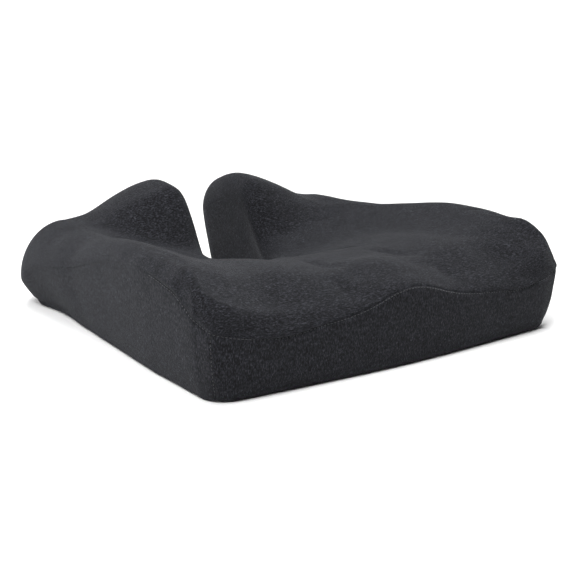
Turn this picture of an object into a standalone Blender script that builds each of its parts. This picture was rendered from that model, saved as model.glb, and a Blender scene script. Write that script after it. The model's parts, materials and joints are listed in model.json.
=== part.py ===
"""Contoured seat cushion: a moulded foam core with a notch at the rear, in a zip-off knitted cover.

All dimensions below are millimetres and are turned into metres when the meshes are made.
X runs across the cushion, +Y runs from the front edge to the rear, +Z is up.
The design values measure y from the straight line through the two front corners; the model's
origin is the centre of its base, so centre_y() is taken off when points are placed.
Most sheets are made as their right half and mirrored in the plane x = 0.
"""

import math

import bmesh
import bpy
import numpy as np

MM = 0.001
MERGE = 0.00001
MIRROR_MERGE = 0.0001

# Plan outline of the right half: (x, y, corner radius), front centre to the middle of the notch.
DEPTH = 474.9
NOTCH_ROOT_Y = 255.4
NOTCH_HALF = 42.7
OUTLINE = [
    (0.0, -4.5, 0.0),
    (50.0, -4.5, 600.0),
    (213.6, 0.0, 34.0),
    (220.0, 113.0, 160.0),
    (216.4, 270.0, 110.0),
    (222.0, 350.0, 80.0),
    (225.5, DEPTH - 24.6, 65.0),
    (34.9, DEPTH, 37.3),
    (NOTCH_HALF, NOTCH_ROOT_Y, NOTCH_HALF * 0.96),
    (0.0, NOTCH_ROOT_Y, 0.0),
]
# Rim section at the front centre and at each outline corner: how far the crown's edge rolls
# inwards, how far it rolls down, and how far the foot is drawn in under the widest line.
RIM_STATIONS = [
    (17.2, 7.6, 0.7),
    (15.9, 10.4, 1.6),
    (8.7, 25.5, 6.9),
    (19.7, 9.8, 10.7),
    (37.1, 24.6, 13.2),
    (51.2, 37.8, 22.4),
    (48.3, 67.2, 14.3),
    (30.4, 38.7, 11.7),
    (17.7, 22.5, 22.3),
    (17.7, 22.5, 22.3),
]
FOOT_RADIUS = 6.1
ROLL_SLOPE = 0.7
DRAFT_POWER = 1.3

# Crown height: a level seat with the features that shape it.
SEAT_HEIGHT = 82.9
SEAT_SLOPE = -1.8
WING_RISE = (25.3, 31.4, 21.9, 17.2)
WING_FROM = 117.8
WING_TO = 219.8
RIDGE_RISE = 19.7
RIDGE_WIDTH = 56.3
RIDGE_END = (-7.3, 92.8)
FRONT_FALL = 22.2
FRONT_FALL_LENGTH = 55.7
CORNER_FALL_CUT = 0.15
CORNER_FALL_FROM = 181.8
CORNER_FALL_WIDTH = 60.0
THIGH_RISE = 7.2
THIGH_X = 115.3
THIGH_WIDTH = 46.2
THIGH_END = (60.0, 249.8)
BASIN_DIP = 31.9
BASIN_WIDTH = 122.6
BASIN_Y = 252.3
BASIN_LENGTH = 87.0
HUMP_RISE = 55.8
HUMP_X = 44.5
HUMP_INNER = 109.5
HUMP_OUTER = 149.7
HUMP_START = 301.5
HUMP_LENGTH = 55.3
REAR_FALL = 22.0
REAR_FALL_LENGTH = 90.8
REAR_FALL_WIDTH = 331.2

# Layers, counted inwards from the cover's outside.
COVER = 1.5
LINER_DEPTH = 2.1
LINER = 0.6
FOAM_DEPTH = 3.3
SEAM_GAP = 0.85
PLATE_INSET = 1.2

# Zip across the underside, ahead of the notch, in a shallow recess.
ZIP_Y = 195.0
ZIP_HALF = 148.0
RECESS_HALF_LENGTH = 182.0
RECESS_HALF_WIDTH = 19.0
RECESS_SLOPE = 7.0
FUNNEL_TOP = 6.1
FUNNEL_WALL = 1.5
LINER_RECESS_TOP = 9.0
LINER_RECESS_MARGIN = 4.6
FOAM_RECESS_MARGIN = 5.8
TAPE_BOTTOM = 6.4
TAPE = 0.6
TAPE_INNER = 0.9
TAPE_OUTER = 15.0
TAPE_PAST_COIL = 2.0
COIL_BOTTOM = 4.2
COIL_HEIGHT = 1.9
COIL_INNER = 0.7
COIL_WIDTH = 2.4
STOP_LENGTH = 3.0
PART_GAP = 0.3
TAB_LENGTH = 26.0
LABEL_LENGTH = 20.0
LABEL_WIDTH = 18.0

# Slider and its pull. The pull hangs on a bar that runs through the bridge, along Y.
SLIDER_LENGTH = 14.0
SLIDER_WIDTH = 9.4
SLIDER_PLATE = 0.9
SLIDER_LOW_Z = 3.0
SLIDER_HIGH_Z = 7.3
SLIDER_RAIL = 1.0
SLIDER_RAIL_TOP = 5.9
SLIDER_POST = (3.0, 0.8)
SLIDER_FROM_END = 10.0
BRIDGE_HALF = 3.2
BRIDGE_WIDTH = 2.2
BRIDGE_LOW_Z = 0.6
BRIDGE_BAR = 0.8
PULL_Z = 2.2
PULL_THICK = 1.0
PULL_LENGTH = 26.0
PULL_WIDTH = 6.4
PULL_WINDOW = (6.5, 3.4)
PULL_GRIP_WIDTH = 5.0
PULL_GRIP_SLOT = (7.0, 2.0)

# Mesh steps along the front and rear runs of the half outline, along its side and notch, and
# across the rim. TURN_LENGTH is the length that counts as much as one radian of turning, and
# CLIMB_SHARE is the length that counts as much as 1 mm of climb.
FRONT_STEPS = 9
SIDE_STEPS = 16
NOTCH_STEPS = 11
TURN_LENGTH = 70.0
CLIMB_SHARE = 1.5
FOOT_STEPS = 2
WALL_STEPS = 2
ROLL_STEPS = 4

COLLECTION = "seat_cushion"
CUTTERS = "cutters"


# ---------------------------------------------------------------- curves and heights


def ease(t):
    """Smooth step from 0 to 1."""
    t = np.clip(t, 0.0, 1.0)
    return t * t * (3.0 - 2.0 * t)


def bell(t):
    """Smooth bump, 1 at t = 0."""
    return np.exp(-t * t)


def steps_through(stations, values, at):
    """Values at the stations, eased from each one to the next."""
    result = np.full_like(at, values[0], dtype=float)
    for k in range(len(stations) - 1):
        share = ease((at - stations[k]) / (stations[k + 1] - stations[k]))
        result = result + (values[k + 1] - values[k]) * share
    return result


def curve_through(stations, values, at):
    """Smooth curve through the values at the stations that turns only where they do."""
    gaps = np.diff(stations)
    slopes = np.diff(values) / gaps
    tangents = np.zeros(len(values))
    for k in range(1, len(gaps)):
        before, after = slopes[k - 1], slopes[k]
        if before * after > 0.0:
            shares = (gaps[k - 1] + 2.0 * gaps[k], 2.0 * gaps[k - 1] + gaps[k])
            tangents[k] = sum(shares) / (shares[0] / before + shares[1] / after)
    span = np.clip(np.searchsorted(stations, at) - 1, 0, len(gaps) - 1)
    t = (at - stations[span]) / gaps[span]
    rest = 1.0 - t
    bend = (tangents[span] * rest - tangents[span + 1] * t) * t * rest * gaps[span]
    return values[span] * rest * rest * (1.0 + 2.0 * t) + values[span + 1] * t * t * (3.0 - 2.0 * t) + bend


def crown_height(x, y):
    """Height of the cushion's top surface over the point x, y."""
    side = np.abs(x)
    z = SEAT_HEIGHT + SEAT_SLOPE * (y - DEPTH / 2.0) / DEPTH
    rise = steps_through([0.0, DEPTH / 3.0, DEPTH * 2.0 / 3.0, DEPTH], WING_RISE, y)
    z = z + rise * ease((side - WING_FROM) / (WING_TO - WING_FROM))
    fading = 1.0 - ease((y - RIDGE_END[0]) / (RIDGE_END[1] - RIDGE_END[0]))
    z = z + RIDGE_RISE * bell(x / RIDGE_WIDTH) * fading
    corner = ease((side - CORNER_FALL_FROM) / CORNER_FALL_WIDTH)
    z = z - FRONT_FALL * (1.0 - ease(y / FRONT_FALL_LENGTH)) * (1.0 - CORNER_FALL_CUT * corner)
    fading = 1.0 - ease((y - THIGH_END[0]) / (THIGH_END[1] - THIGH_END[0]))
    z = z + THIGH_RISE * bell((side - THIGH_X) / THIGH_WIDTH) * fading
    z = z - BASIN_DIP * bell(x / BASIN_WIDTH) * bell((y - BASIN_Y) / BASIN_LENGTH)
    from_peak = side - HUMP_X
    hump = np.where(from_peak < 0.0, bell(from_peak / HUMP_INNER), 1.0 - ease(from_peak / HUMP_OUTER))
    z = z + HUMP_RISE * hump * ease((y - HUMP_START) / HUMP_LENGTH)
    rear = ease((y - DEPTH + REAR_FALL_LENGTH) / REAR_FALL_LENGTH)
    return z - REAR_FALL * rear * bell(x / REAR_FALL_WIDTH)


def crown_slope(places, directions):
    """Rise of the crown per length, at the places, in the directions."""
    ahead = places + directions
    behind = places - directions
    return (crown_height(ahead[:, 0], ahead[:, 1]) - crown_height(behind[:, 0], behind[:, 1])) / 2.0


def unit(vectors):
    """The vectors at length 1."""
    length = np.linalg.norm(vectors, axis=-1, keepdims=True)
    return vectors / np.maximum(length, 1e-9)


def rounded_path(corners, step=0.1):
    """Polyline through (x, y, radius) corners, each rounded by an arc, and the length along it at each corner."""
    points = []
    middles = []
    for k, (x, y, radius) in enumerate(corners):
        here = np.array([x, y])
        if radius <= 0.0:
            middles.append(len(points))
            points.append(here)
            continue
        back = unit(np.array(corners[k - 1][:2]) - here)
        ahead = unit(np.array(corners[k + 1][:2]) - here)
        half_angle = math.acos(float(np.clip(back @ ahead, -1.0, 1.0))) / 2.0
        centre = here + unit(back + ahead) * radius / math.sin(half_angle)
        first = here + back * radius / math.tan(half_angle) - centre
        last = here + ahead * radius / math.tan(half_angle) - centre
        start = math.atan2(first[1], first[0])
        sweep = (math.atan2(last[1], last[0]) - start + math.pi) % (2.0 * math.pi) - math.pi
        count = 2 * max(2, int(abs(sweep) / step / 2.0))
        middles.append(len(points) + count // 2)
        for angle in start + sweep * np.linspace(0.0, 1.0, count + 1):
            points.append(centre + radius * np.array([math.cos(angle), math.sin(angle)]))
    points = np.array(points)
    lengths = np.concatenate([[0.0], np.cumsum(np.linalg.norm(np.diff(points, axis=0), axis=1))])
    return points, lengths, lengths[middles]


def along_outline(points, lengths, at):
    """Points at the given lengths, continued past both ends by the mirrored half."""
    total = lengths[-1]
    inside = np.where(at < 0.0, -at, np.where(at > total, 2.0 * total - at, at))
    x = np.interp(inside, lengths, points[:, 0])
    y = np.interp(inside, lengths, points[:, 1])
    x = np.where((at < 0.0) | (at > total), -x, x)
    return np.stack([x, y], axis=-1)


def columns(points, lengths, marks, counts):
    """Lengths along the outline of the mesh columns, closer together where it turns or the crown climbs."""
    dense = np.linspace(0.0, lengths[-1], 800)
    places = along_outline(points, lengths, dense)
    steps = np.diff(places, axis=0)
    heading = np.unwrap(np.arctan2(steps[:, 1], steps[:, 0]))
    turned = np.abs(np.diff(heading, append=heading[-1]))
    climbed = np.abs(np.diff(crown_height(places[:, 0], places[:, 1])))
    weight = np.linalg.norm(steps, axis=1) + TURN_LENGTH * turned + CLIMB_SHARE * climbed
    measure = np.concatenate([[0.0], np.cumsum(weight)])
    at = [np.zeros(1)]
    for k, count in enumerate(counts):
        ends = np.interp(marks[k : k + 2], dense, measure)
        at.append(np.interp(np.linspace(ends[0], ends[1], count + 1)[1:], measure, dense))
    return np.concatenate(at)


# ---------------------------------------------------------------- the cushion's skin


def skin():
    """Right half of the outer surface.

    rim: rows of points round the outline, from under the foot up to the crown's edge.
    crown: rows of points over the top, front to rear, each from the middle to the crown's edge.
    Both come with their outward normals. seam is the rim row at the top of the bands.
    """
    points, lengths, stations = rounded_path(OUTLINE)
    marks = [0.0, *stations[[2, 6, 7, -1]]]
    at = columns(points, lengths, marks, [FRONT_STEPS, SIDE_STEPS, FRONT_STEPS, NOTCH_STEPS])
    edge = along_outline(points, lengths, at)
    ahead = unit(along_outline(points, lengths, at + 2.0) - along_outline(points, lengths, at - 2.0))
    outward = np.stack([ahead[:, 1], -ahead[:, 0]], axis=-1)
    outward[[0, -1], 0] = 0.0
    outward = unit(outward)
    sections = np.array(RIM_STATIONS)
    roll_in, roll_down, draft = [curve_through(stations, sections[:, k], at) for k in range(3)]

    inset = edge - outward * roll_in[:, None]
    crown_edge = crown_height(inset[:, 0], inset[:, 1])
    wall_top = crown_edge - roll_down
    slope = crown_slope(inset, outward)
    steepest = ROLL_SLOPE * roll_down / roll_in
    slope = np.clip(slope, -steepest, steepest)
    rows = []
    for k in range(FOOT_STEPS + 1):
        angle = math.pi / 2.0 * k / FOOT_STEPS
        shift = -draft - FOOT_RADIUS * (1.0 - math.sin(angle))
        rows.append((shift, np.full_like(at, FOOT_RADIUS * (1.0 - math.cos(angle)))))
    for k in range(1, WALL_STEPS + 1):
        share = k / WALL_STEPS
        rows.append((-draft * (1.0 - share) ** DRAFT_POWER, FOOT_RADIUS + (wall_top - FOOT_RADIUS) * share))
    seam = len(rows) - 1
    rim = [np.column_stack([edge + outward * shift[:, None], z]) for shift, z in rows]
    for k in range(1, ROLL_STEPS + 1):
        angle = math.pi / 2.0 * k / ROLL_STEPS
        place = edge - outward * (roll_in * (1.0 - math.cos(angle)))[:, None]
        drop = roll_down * (1.0 - math.sin(angle))
        z = crown_edge - drop + slope * roll_in * math.cos(angle) * math.sin(angle)
        rim.append(np.column_stack([place, z]))
    rim = np.array(rim)
    crown = crown_patch(rim[-1][:, :2])
    z = crown_height(crown[..., 0], crown[..., 1])
    crown = np.concatenate([crown, z[..., None]], axis=-1)
    return {
        "rim": rim,
        "rim_normals": rim_normals(rim),
        "crown": crown,
        "crown_normals": crown_normals(crown),
        "outward": outward,
        "seam": seam,
        "corner": FRONT_STEPS,
        "mouth": FRONT_STEPS + SIDE_STEPS + FRONT_STEPS,
    }


def crown_patch(loop):
    """Grid over the area inside the half loop: a patch between its front, side, rear and inner runs."""
    side_end = FRONT_STEPS + SIDE_STEPS
    rear_end = side_end + FRONT_STEPS
    front = loop[: FRONT_STEPS + 1]
    side = loop[FRONT_STEPS : side_end + 1]
    rear = loop[side_end : rear_end + 1][::-1]
    notch = loop[rear_end:][::-1]
    middle_y = np.linspace(front[0, 1], notch[0, 1], SIDE_STEPS - NOTCH_STEPS + 1)
    middle = np.column_stack([np.zeros_like(middle_y), middle_y])
    inner = np.concatenate([middle, notch[1:]])
    u = np.linspace(0.0, 1.0, FRONT_STEPS + 1)[None, :, None]
    v = np.linspace(0.0, 1.0, SIDE_STEPS + 1)[:, None, None]
    across = (1.0 - v) * front[None] + v * rear[None]
    along = (1.0 - u) * inner[:, None] + u * side[:, None]
    corners = (1.0 - v) * ((1.0 - u) * front[0] + u * front[-1]) + v * ((1.0 - u) * rear[0] + u * rear[-1])
    return across + along - corners


def rim_normals(rim):
    """Outward normals of the rim rows. The mirrored half gives the neighbours at both ends."""
    flip = np.array([-1.0, 1.0, 1.0])
    wide = np.concatenate([rim[:, 1:2] * flip, rim, rim[:, -2:-1] * flip], axis=1)
    along = (wide[:, 2:] - wide[:, :-2])
    up = np.gradient(rim, axis=0)
    normals = unit(np.cross(along, up))
    normals[0] = (0.0, 0.0, -1.0)
    normals[-1] = crown_normals(rim[-1])
    normals[:, [0, -1], 0] = 0.0
    return unit(normals)


def crown_normals(points):
    """Upward normals of the crown at the points, from its slopes."""
    x, y = points[..., 0], points[..., 1]
    slope_x = (crown_height(x + 1.0, y) - crown_height(x - 1.0, y)) / 2.0
    slope_y = (crown_height(x, y + 1.0) - crown_height(x, y - 1.0)) / 2.0
    return unit(np.stack([-slope_x, -slope_y, np.ones_like(x)], axis=-1))


def centre_y():
    """Middle of the outline's length, where the model's origin is."""
    points = rounded_path(OUTLINE)[0]
    return (points[:, 1].min() + points[:, 1].max()) / 2.0


def drawn_back(rows, first, last):
    """Rows of points whose first or last row is pulled towards its neighbour, to leave a seam gap."""
    rows = rows.copy()
    if first:
        rows[0] += unit(rows[1] - rows[0]) * SEAM_GAP
    if last:
        rows[-1] += unit(rows[-2] - rows[-1]) * SEAM_GAP
    return rows


# ---------------------------------------------------------------- Blender helpers


def clear_scene():
    """Empties the scene."""
    for obj in list(bpy.data.objects):
        bpy.data.objects.remove(obj, do_unlink=True)


def collection(name):
    """A new collection in the scene."""
    group = bpy.data.collections.new(name)
    bpy.context.scene.collection.children.link(group)
    return group


def material(name, color, roughness, metallic=0.0):
    """A plain Principled material."""
    mat = bpy.data.materials.new(name)
    mat.use_nodes = True
    shader = mat.node_tree.nodes["Principled BSDF"]
    shader.inputs["Base Color"].default_value = (*color, 1.0)
    shader.inputs["Roughness"].default_value = roughness
    shader.inputs["Metallic"].default_value = metallic
    mat.diffuse_color = (*color, 1.0)
    return mat


def placed(points):
    """Design points in millimetres as model points in metres."""
    return (np.asarray(points) - np.array([0.0, centre_y(), 0.0])) * MM


def new_object(name, mesh, mat, group):
    """An object for the mesh, with its material, in the collection."""
    obj = bpy.data.objects.new(name, mesh)
    group.objects.link(obj)
    if mat is not None:
        mesh.materials.append(mat)
    return obj


def add_grid(bm, rows):
    """Adds a grid of faces whose corners are the rows of points."""
    row_count, column_count = rows.shape[:2]
    made = bmesh.ops.create_grid(bm, x_segments=column_count - 1, y_segments=row_count - 1, size=1.0)
    points = placed(rows)
    for vertex in made["verts"]:
        column = round((vertex.co.x + 1.0) / 2.0 * (column_count - 1))
        row = round((vertex.co.y + 1.0) / 2.0 * (row_count - 1))
        vertex.co = points[row, column]


def sheet_mesh(name, grids, facing):
    """One mesh of several grids joined along their shared edges. Its first face looks along facing."""
    bm = bmesh.new()
    for rows in grids:
        add_grid(bm, rows)
    bmesh.ops.triangulate(bm, faces=bm.faces, quad_method="FIXED")
    bmesh.ops.remove_doubles(bm, verts=bm.verts, dist=MERGE)
    bmesh.ops.recalc_face_normals(bm, faces=bm.faces)
    bm.faces.ensure_lookup_table()
    if bm.faces[0].normal.dot(facing) < 0.0:
        bmesh.ops.reverse_faces(bm, faces=bm.faces)
    mesh = bpy.data.meshes.new(name)
    bm.to_mesh(mesh)
    bm.free()
    mesh.shade_smooth()
    return mesh


def mirror(obj):
    """Mirrors the right half to the left."""
    modifier = obj.modifiers.new("mirror", "MIRROR")
    modifier.use_clip = True
    modifier.merge_threshold = MIRROR_MERGE


def thicken(obj, thickness):
    """Gives a sheet its thickness, inwards."""
    modifier = obj.modifiers.new("thickness", "SOLIDIFY")
    modifier.thickness = thickness * MM
    modifier.offset = -1.0


def round_edges(obj, width, segments=2):
    """Rounds the object's sharp edges."""
    modifier = obj.modifiers.new("round edges", "BEVEL")
    modifier.width = width * MM
    modifier.segments = segments
    modifier.limit_method = "ANGLE"


def combine(obj, other, operation):
    """Boolean of two objects. The other one is a cutter."""
    modifier = obj.modifiers.new(operation.lower(), "BOOLEAN")
    modifier.operation = operation
    modifier.object = other
    modifier.solver = "EXACT"


def box(name, low, high, mat, group):
    """A box between two corners, in design millimetres."""
    low = placed(low)
    high = placed(high)
    mesh = bpy.data.meshes.new(name)
    bm = bmesh.new()
    bmesh.ops.create_cube(bm, size=1.0)
    for vertex in bm.verts:
        vertex.co = [(low[k] + high[k]) / 2.0 + vertex.co[k] * (high[k] - low[k]) for k in range(3)]
    bm.to_mesh(mesh)
    bm.free()
    return new_object(name, mesh, mat, group)


def cutter_box(name, low, high, cutters):
    """A box that only cuts or joins."""
    return as_cutter(box(name, low, high, None, cutters))


def as_cutter(obj):
    """Marks an object as a cutter."""
    obj.hide_render = True
    obj.display_type = "WIRE"
    return obj


def frustum(name, half_length, half_width, low_z, high_z, cutters):
    """A box over the zip whose four sides lean in with the recess's slope. Half sizes are those at z = 0."""
    lean = RECESS_SLOPE / FUNNEL_TOP
    middle = placed((0.0, ZIP_Y, 0.0))[1]
    obj = cutter_box(
        name,
        (-half_length, ZIP_Y - half_width, low_z),
        (half_length, ZIP_Y + half_width, high_z),
        cutters,
    )
    for vertex in obj.data.vertices:
        shift = lean * vertex.co.z
        vertex.co.x -= shift * math.copysign(1.0, vertex.co.x)
        vertex.co.y -= shift * math.copysign(1.0, vertex.co.y - middle)
    return obj


def solid_copy(name, obj, mat, group):
    """A mesh object of what the object looks like with its modifiers, with loose points welded."""
    graph = bpy.context.evaluated_depsgraph_get()
    mesh = bpy.data.meshes.new_from_object(obj.evaluated_get(graph))
    bm = bmesh.new()
    bm.from_mesh(mesh)
    bmesh.ops.remove_doubles(bm, verts=bm.verts, dist=MERGE)
    bm.to_mesh(mesh)
    bm.free()
    mesh.materials.clear()
    result = new_object(name, mesh, mat, group)
    result.matrix_world = obj.matrix_world
    bpy.data.objects.remove(obj, do_unlink=True)
    return result


def plate(name, outline, low_z, thickness, mat, group):
    """A flat plate of the closed outline."""
    curve = bpy.data.curves.new(name, "CURVE")
    curve.dimensions = "2D"
    curve.fill_mode = "BOTH"
    curve.extrude = thickness / 2.0 * MM
    spline = curve.splines.new("POLY")
    spline.points.add(len(outline) - 1)
    for point, place in zip(spline.points, placed(outline)):
        point.co = (place[0], place[1], 0.0, 1.0)
    spline.use_cyclic_u = True
    flat = bpy.data.objects.new(name + "_outline", curve)
    group.objects.link(flat)
    flat.location.z = (low_z + thickness / 2.0) * MM
    bpy.context.view_layer.update()
    return solid_copy(name, flat, mat, group)


# ---------------------------------------------------------------- foam and liner


def make_foam_core(surface, mat, group, cutters):
    """The moulded foam block inside the cover and the liner, with a recess for the zip."""
    rim = surface["rim"] - surface["rim_normals"] * FOAM_DEPTH
    crown = surface["crown"] - surface["crown_normals"] * FOAM_DEPTH
    floor = crown_patch(rim[0][:, :2])
    floor = np.concatenate([floor, np.full(floor.shape[:2] + (1,), FOAM_DEPTH)], axis=-1)
    mesh = sheet_mesh("foam_core", [crown, rim, floor], (0.0, 0.0, 1.0))
    foam = new_object("foam_core", mesh, mat, group)
    mirror(foam)
    margin = FOAM_RECESS_MARGIN
    recess = frustum(
        "foam_recess",
        RECESS_HALF_LENGTH + margin,
        RECESS_HALF_WIDTH + margin,
        -1.0,
        LINER_RECESS_TOP + LINER + PART_GAP,
        cutters,
    )
    combine(foam, recess, "DIFFERENCE")


def make_liner_top(surface, mat, group):
    """The thin jersey liner over the foam's top and sides."""
    rim = surface["rim"] - surface["rim_normals"] * LINER_DEPTH
    crown = surface["crown"] - surface["crown_normals"] * LINER_DEPTH
    mesh = sheet_mesh("liner_top", [crown, rim], (0.0, 0.0, 1.0))
    liner = new_object("liner_top", mesh, mat, group)
    mirror(liner)
    thicken(liner, LINER)


def foot_outline(surface, inset):
    """Whole outline of the foot, drawn in, as a closed loop of points."""
    half = surface["rim"][0].copy()
    half[:, :2] -= surface["outward"] * inset
    other = half[-2:0:-1] * np.array([-1.0, 1.0, 1.0])
    return np.concatenate([half, other])


def make_liner_base(surface, mat, group, cutters):
    """The liner's underside, which follows the zip recess as a shallow tray."""
    outline = foot_outline(surface, PLATE_INSET)
    liner = plate("liner_base", outline, LINER_DEPTH, LINER, mat, group)
    margin = LINER_RECESS_MARGIN
    size = (RECESS_HALF_LENGTH + margin, RECESS_HALF_WIDTH + margin)
    outside = frustum(
        "liner_tray", size[0] + LINER, size[1] + LINER, LINER_DEPTH, LINER_RECESS_TOP + LINER, cutters
    )
    inside = frustum("liner_hollow", size[0], size[1], 0.0, LINER_RECESS_TOP, cutters)
    combine(liner, outside, "UNION")
    combine(liner, inside, "DIFFERENCE")


# ---------------------------------------------------------------- cover


def make_top_panel(surface, mat, group):
    """The knitted top, rolled over the edge down to the seam above the bands."""
    seam = surface["seam"]
    roll = drawn_back(surface["rim"][seam:], True, False)
    mesh = sheet_mesh("top_panel", [surface["crown"], roll], (0.0, 0.0, 1.0))
    panel = new_object("top_panel", mesh, mat, group)
    mirror(panel)
    thicken(panel, COVER)


def band_rows(surface, first, last):
    """Rim rows of a band between two columns, drawn back at its top seam."""
    rows = surface["rim"][: surface["seam"] + 1, first : last + 1]
    return drawn_back(rows, False, True)


def ends_drawn_back(rows, first, last):
    """The same, at the band's two ends."""
    return drawn_back(rows.swapaxes(0, 1), first, last).swapaxes(0, 1)


def make_middle_band(name, surface, first, last, mat, group):
    """A band that crosses the middle plane: one half and its mirror image."""
    rows = band_rows(surface, first, last)
    rows = ends_drawn_back(rows, first > 0, first == 0)
    facing = surface["rim_normals"][0, first]
    band = new_object(name, sheet_mesh(name, [rows], facing), mat, group)
    mirror(band)
    thicken(band, COVER)


def make_side_band(name, surface, side, mat, group):
    """The long band from a front corner round the rear corner to the notch's mouth. side is +1 or -1."""
    rows = band_rows(surface, surface["corner"], surface["mouth"])
    rows = ends_drawn_back(rows, True, True)
    rows = rows * np.array([side, 1.0, 1.0])
    facing = surface["rim_normals"][0, surface["corner"]]
    band = new_object(name, sheet_mesh(name, [rows], facing), mat, group)
    thicken(band, COVER)


def make_base_panels(surface, mat, group, cutters):
    """The non-slip underside: two panels that meet in a cross seam, turned up around the zip."""
    outline = foot_outline(surface, PLATE_INSET)
    reach = 2.0 * DEPTH
    outside = frustum(
        "funnel_outside",
        RECESS_HALF_LENGTH + FUNNEL_WALL,
        RECESS_HALF_WIDTH + FUNNEL_WALL,
        0.0,
        FUNNEL_TOP,
        cutters,
    )
    inside = frustum("funnel_inside", RECESS_HALF_LENGTH, RECESS_HALF_WIDTH, -1.0, FUNNEL_TOP + 1.0, cutters)
    spans = {"base_panel_front": (ZIP_Y - PART_GAP / 2.0, reach), "base_panel_rear": (-reach, ZIP_Y + PART_GAP / 2.0)}
    for name, (cut_from, cut_to) in spans.items():
        panel = plate(name, outline, 0.0, COVER, mat, group)
        combine(panel, outside, "UNION")
        combine(panel, inside, "DIFFERENCE")
        waste = cutter_box(name + "_cut", (-reach, cut_from, -reach), (reach, cut_to, reach), cutters)
        combine(panel, waste, "DIFFERENCE")


# ---------------------------------------------------------------- zip


def make_tape(name, side, mat, group):
    """One woven tape of the zip. side is -1 at the front and +1 at the rear."""
    half = ZIP_HALF + TAPE_PAST_COIL
    edges = sorted((ZIP_Y + side * TAPE_INNER, ZIP_Y + side * TAPE_OUTER))
    box(name, (-half, edges[0], TAPE_BOTTOM), (half, edges[1], TAPE_BOTTOM + TAPE), mat, group)


def make_coil(name, side, mat, group):
    """One row of the zip's coil, as a bar of its outer size."""
    edges = sorted((ZIP_Y + side * COIL_INNER, ZIP_Y + side * (COIL_INNER + COIL_WIDTH)))
    low = (-ZIP_HALF, edges[0], COIL_BOTTOM)
    high = (ZIP_HALF, edges[1], COIL_BOTTOM + COIL_HEIGHT)
    round_edges(box(name, low, high, mat, group), COIL_HEIGHT * 0.3)


def make_stops(mat, group):
    """A stop past the closed end of each row of the coil, and one across both rows at the open end."""
    near = ZIP_HALF + PART_GAP
    far = near + STOP_LENGTH
    top = COIL_BOTTOM + COIL_HEIGHT
    outer = COIL_INNER + COIL_WIDTH
    for name, side in (("zip_top_stop_front", -1.0), ("zip_top_stop_rear", 1.0)):
        edges = sorted((side * COIL_INNER, side * outer))
        box(name, (near, ZIP_Y + edges[0], COIL_BOTTOM), (far, ZIP_Y + edges[1], top), mat, group)
    box("zip_bottom_stop", (-far, ZIP_Y - outer, COIL_BOTTOM), (-near, ZIP_Y + outer, top), mat, group)


def make_end_tabs(mat, group):
    """The fabric tabs that close the recess past both ends of the tapes."""
    near = ZIP_HALF + TAPE_PAST_COIL + PART_GAP
    for name, side in (("zip_end_tab_left", -1.0), ("zip_end_tab_right", 1.0)):
        edges = sorted((side * near, side * (near + TAB_LENGTH)))
        low = (edges[0], ZIP_Y - TAPE_OUTER, TAPE_BOTTOM)
        high = (edges[1], ZIP_Y + TAPE_OUTER, TAPE_BOTTOM + TAPE)
        box(name, low, high, mat, group)


def make_care_label(mat, group):
    """A blank folded label under the left tab."""
    near = ZIP_HALF + TAPE_PAST_COIL + 2.0 * PART_GAP + STOP_LENGTH
    top = TAPE_BOTTOM - PART_GAP
    low = (-near - LABEL_LENGTH, ZIP_Y - LABEL_WIDTH / 2.0, top - TAPE)
    high = (-near, ZIP_Y + LABEL_WIDTH / 2.0, top)
    box("care_label", low, high, mat, group)


def slider_x():
    """Middle of the slider when the zip is closed."""
    return ZIP_HALF - SLIDER_FROM_END


def make_slider(mat, group, cutters):
    """The slider: two plates joined by a post, rails at the lower plate's edges, and the bridge under it."""
    middle = slider_x()
    half = SLIDER_LENGTH / 2.0
    width = SLIDER_WIDTH / 2.0
    low_top = SLIDER_LOW_Z + SLIDER_PLATE
    high_top = SLIDER_HIGH_Z + SLIDER_PLATE
    bridge = BRIDGE_WIDTH / 2.0
    slider = box(
        "zip_slider",
        (middle - half, ZIP_Y - width, SLIDER_LOW_Z),
        (middle + half, ZIP_Y + width, low_top),
        mat,
        group,
    )
    pieces = [
        ("upper_plate", (-half, -width, SLIDER_HIGH_Z), (half, width, high_top)),
        ("rail_front", (-half, -width, SLIDER_LOW_Z), (half, -width + SLIDER_RAIL, SLIDER_RAIL_TOP)),
        ("rail_rear", (-half, width - SLIDER_RAIL, SLIDER_LOW_Z), (half, width, SLIDER_RAIL_TOP)),
        (
            "post",
            (half - SLIDER_POST[0], -SLIDER_POST[1] / 2.0, SLIDER_LOW_Z),
            (half, SLIDER_POST[1] / 2.0, high_top),
        ),
        ("bridge", (-BRIDGE_HALF, -bridge, BRIDGE_LOW_Z), (BRIDGE_HALF, bridge, low_top)),
    ]
    origin = np.array([middle, ZIP_Y, 0.0])
    for name, low, high in pieces:
        combine(slider, cutter_box(name, origin + low, origin + high, cutters), "UNION")
    eye = cutter_box(
        "bridge_eye",
        origin + (-BRIDGE_HALF + BRIDGE_BAR, -bridge - 1.0, BRIDGE_LOW_Z + BRIDGE_BAR),
        origin + (BRIDGE_HALF - BRIDGE_BAR, bridge + 1.0, SLIDER_LOW_Z),
        cutters,
    )
    combine(slider, eye, "DIFFERENCE")


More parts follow.
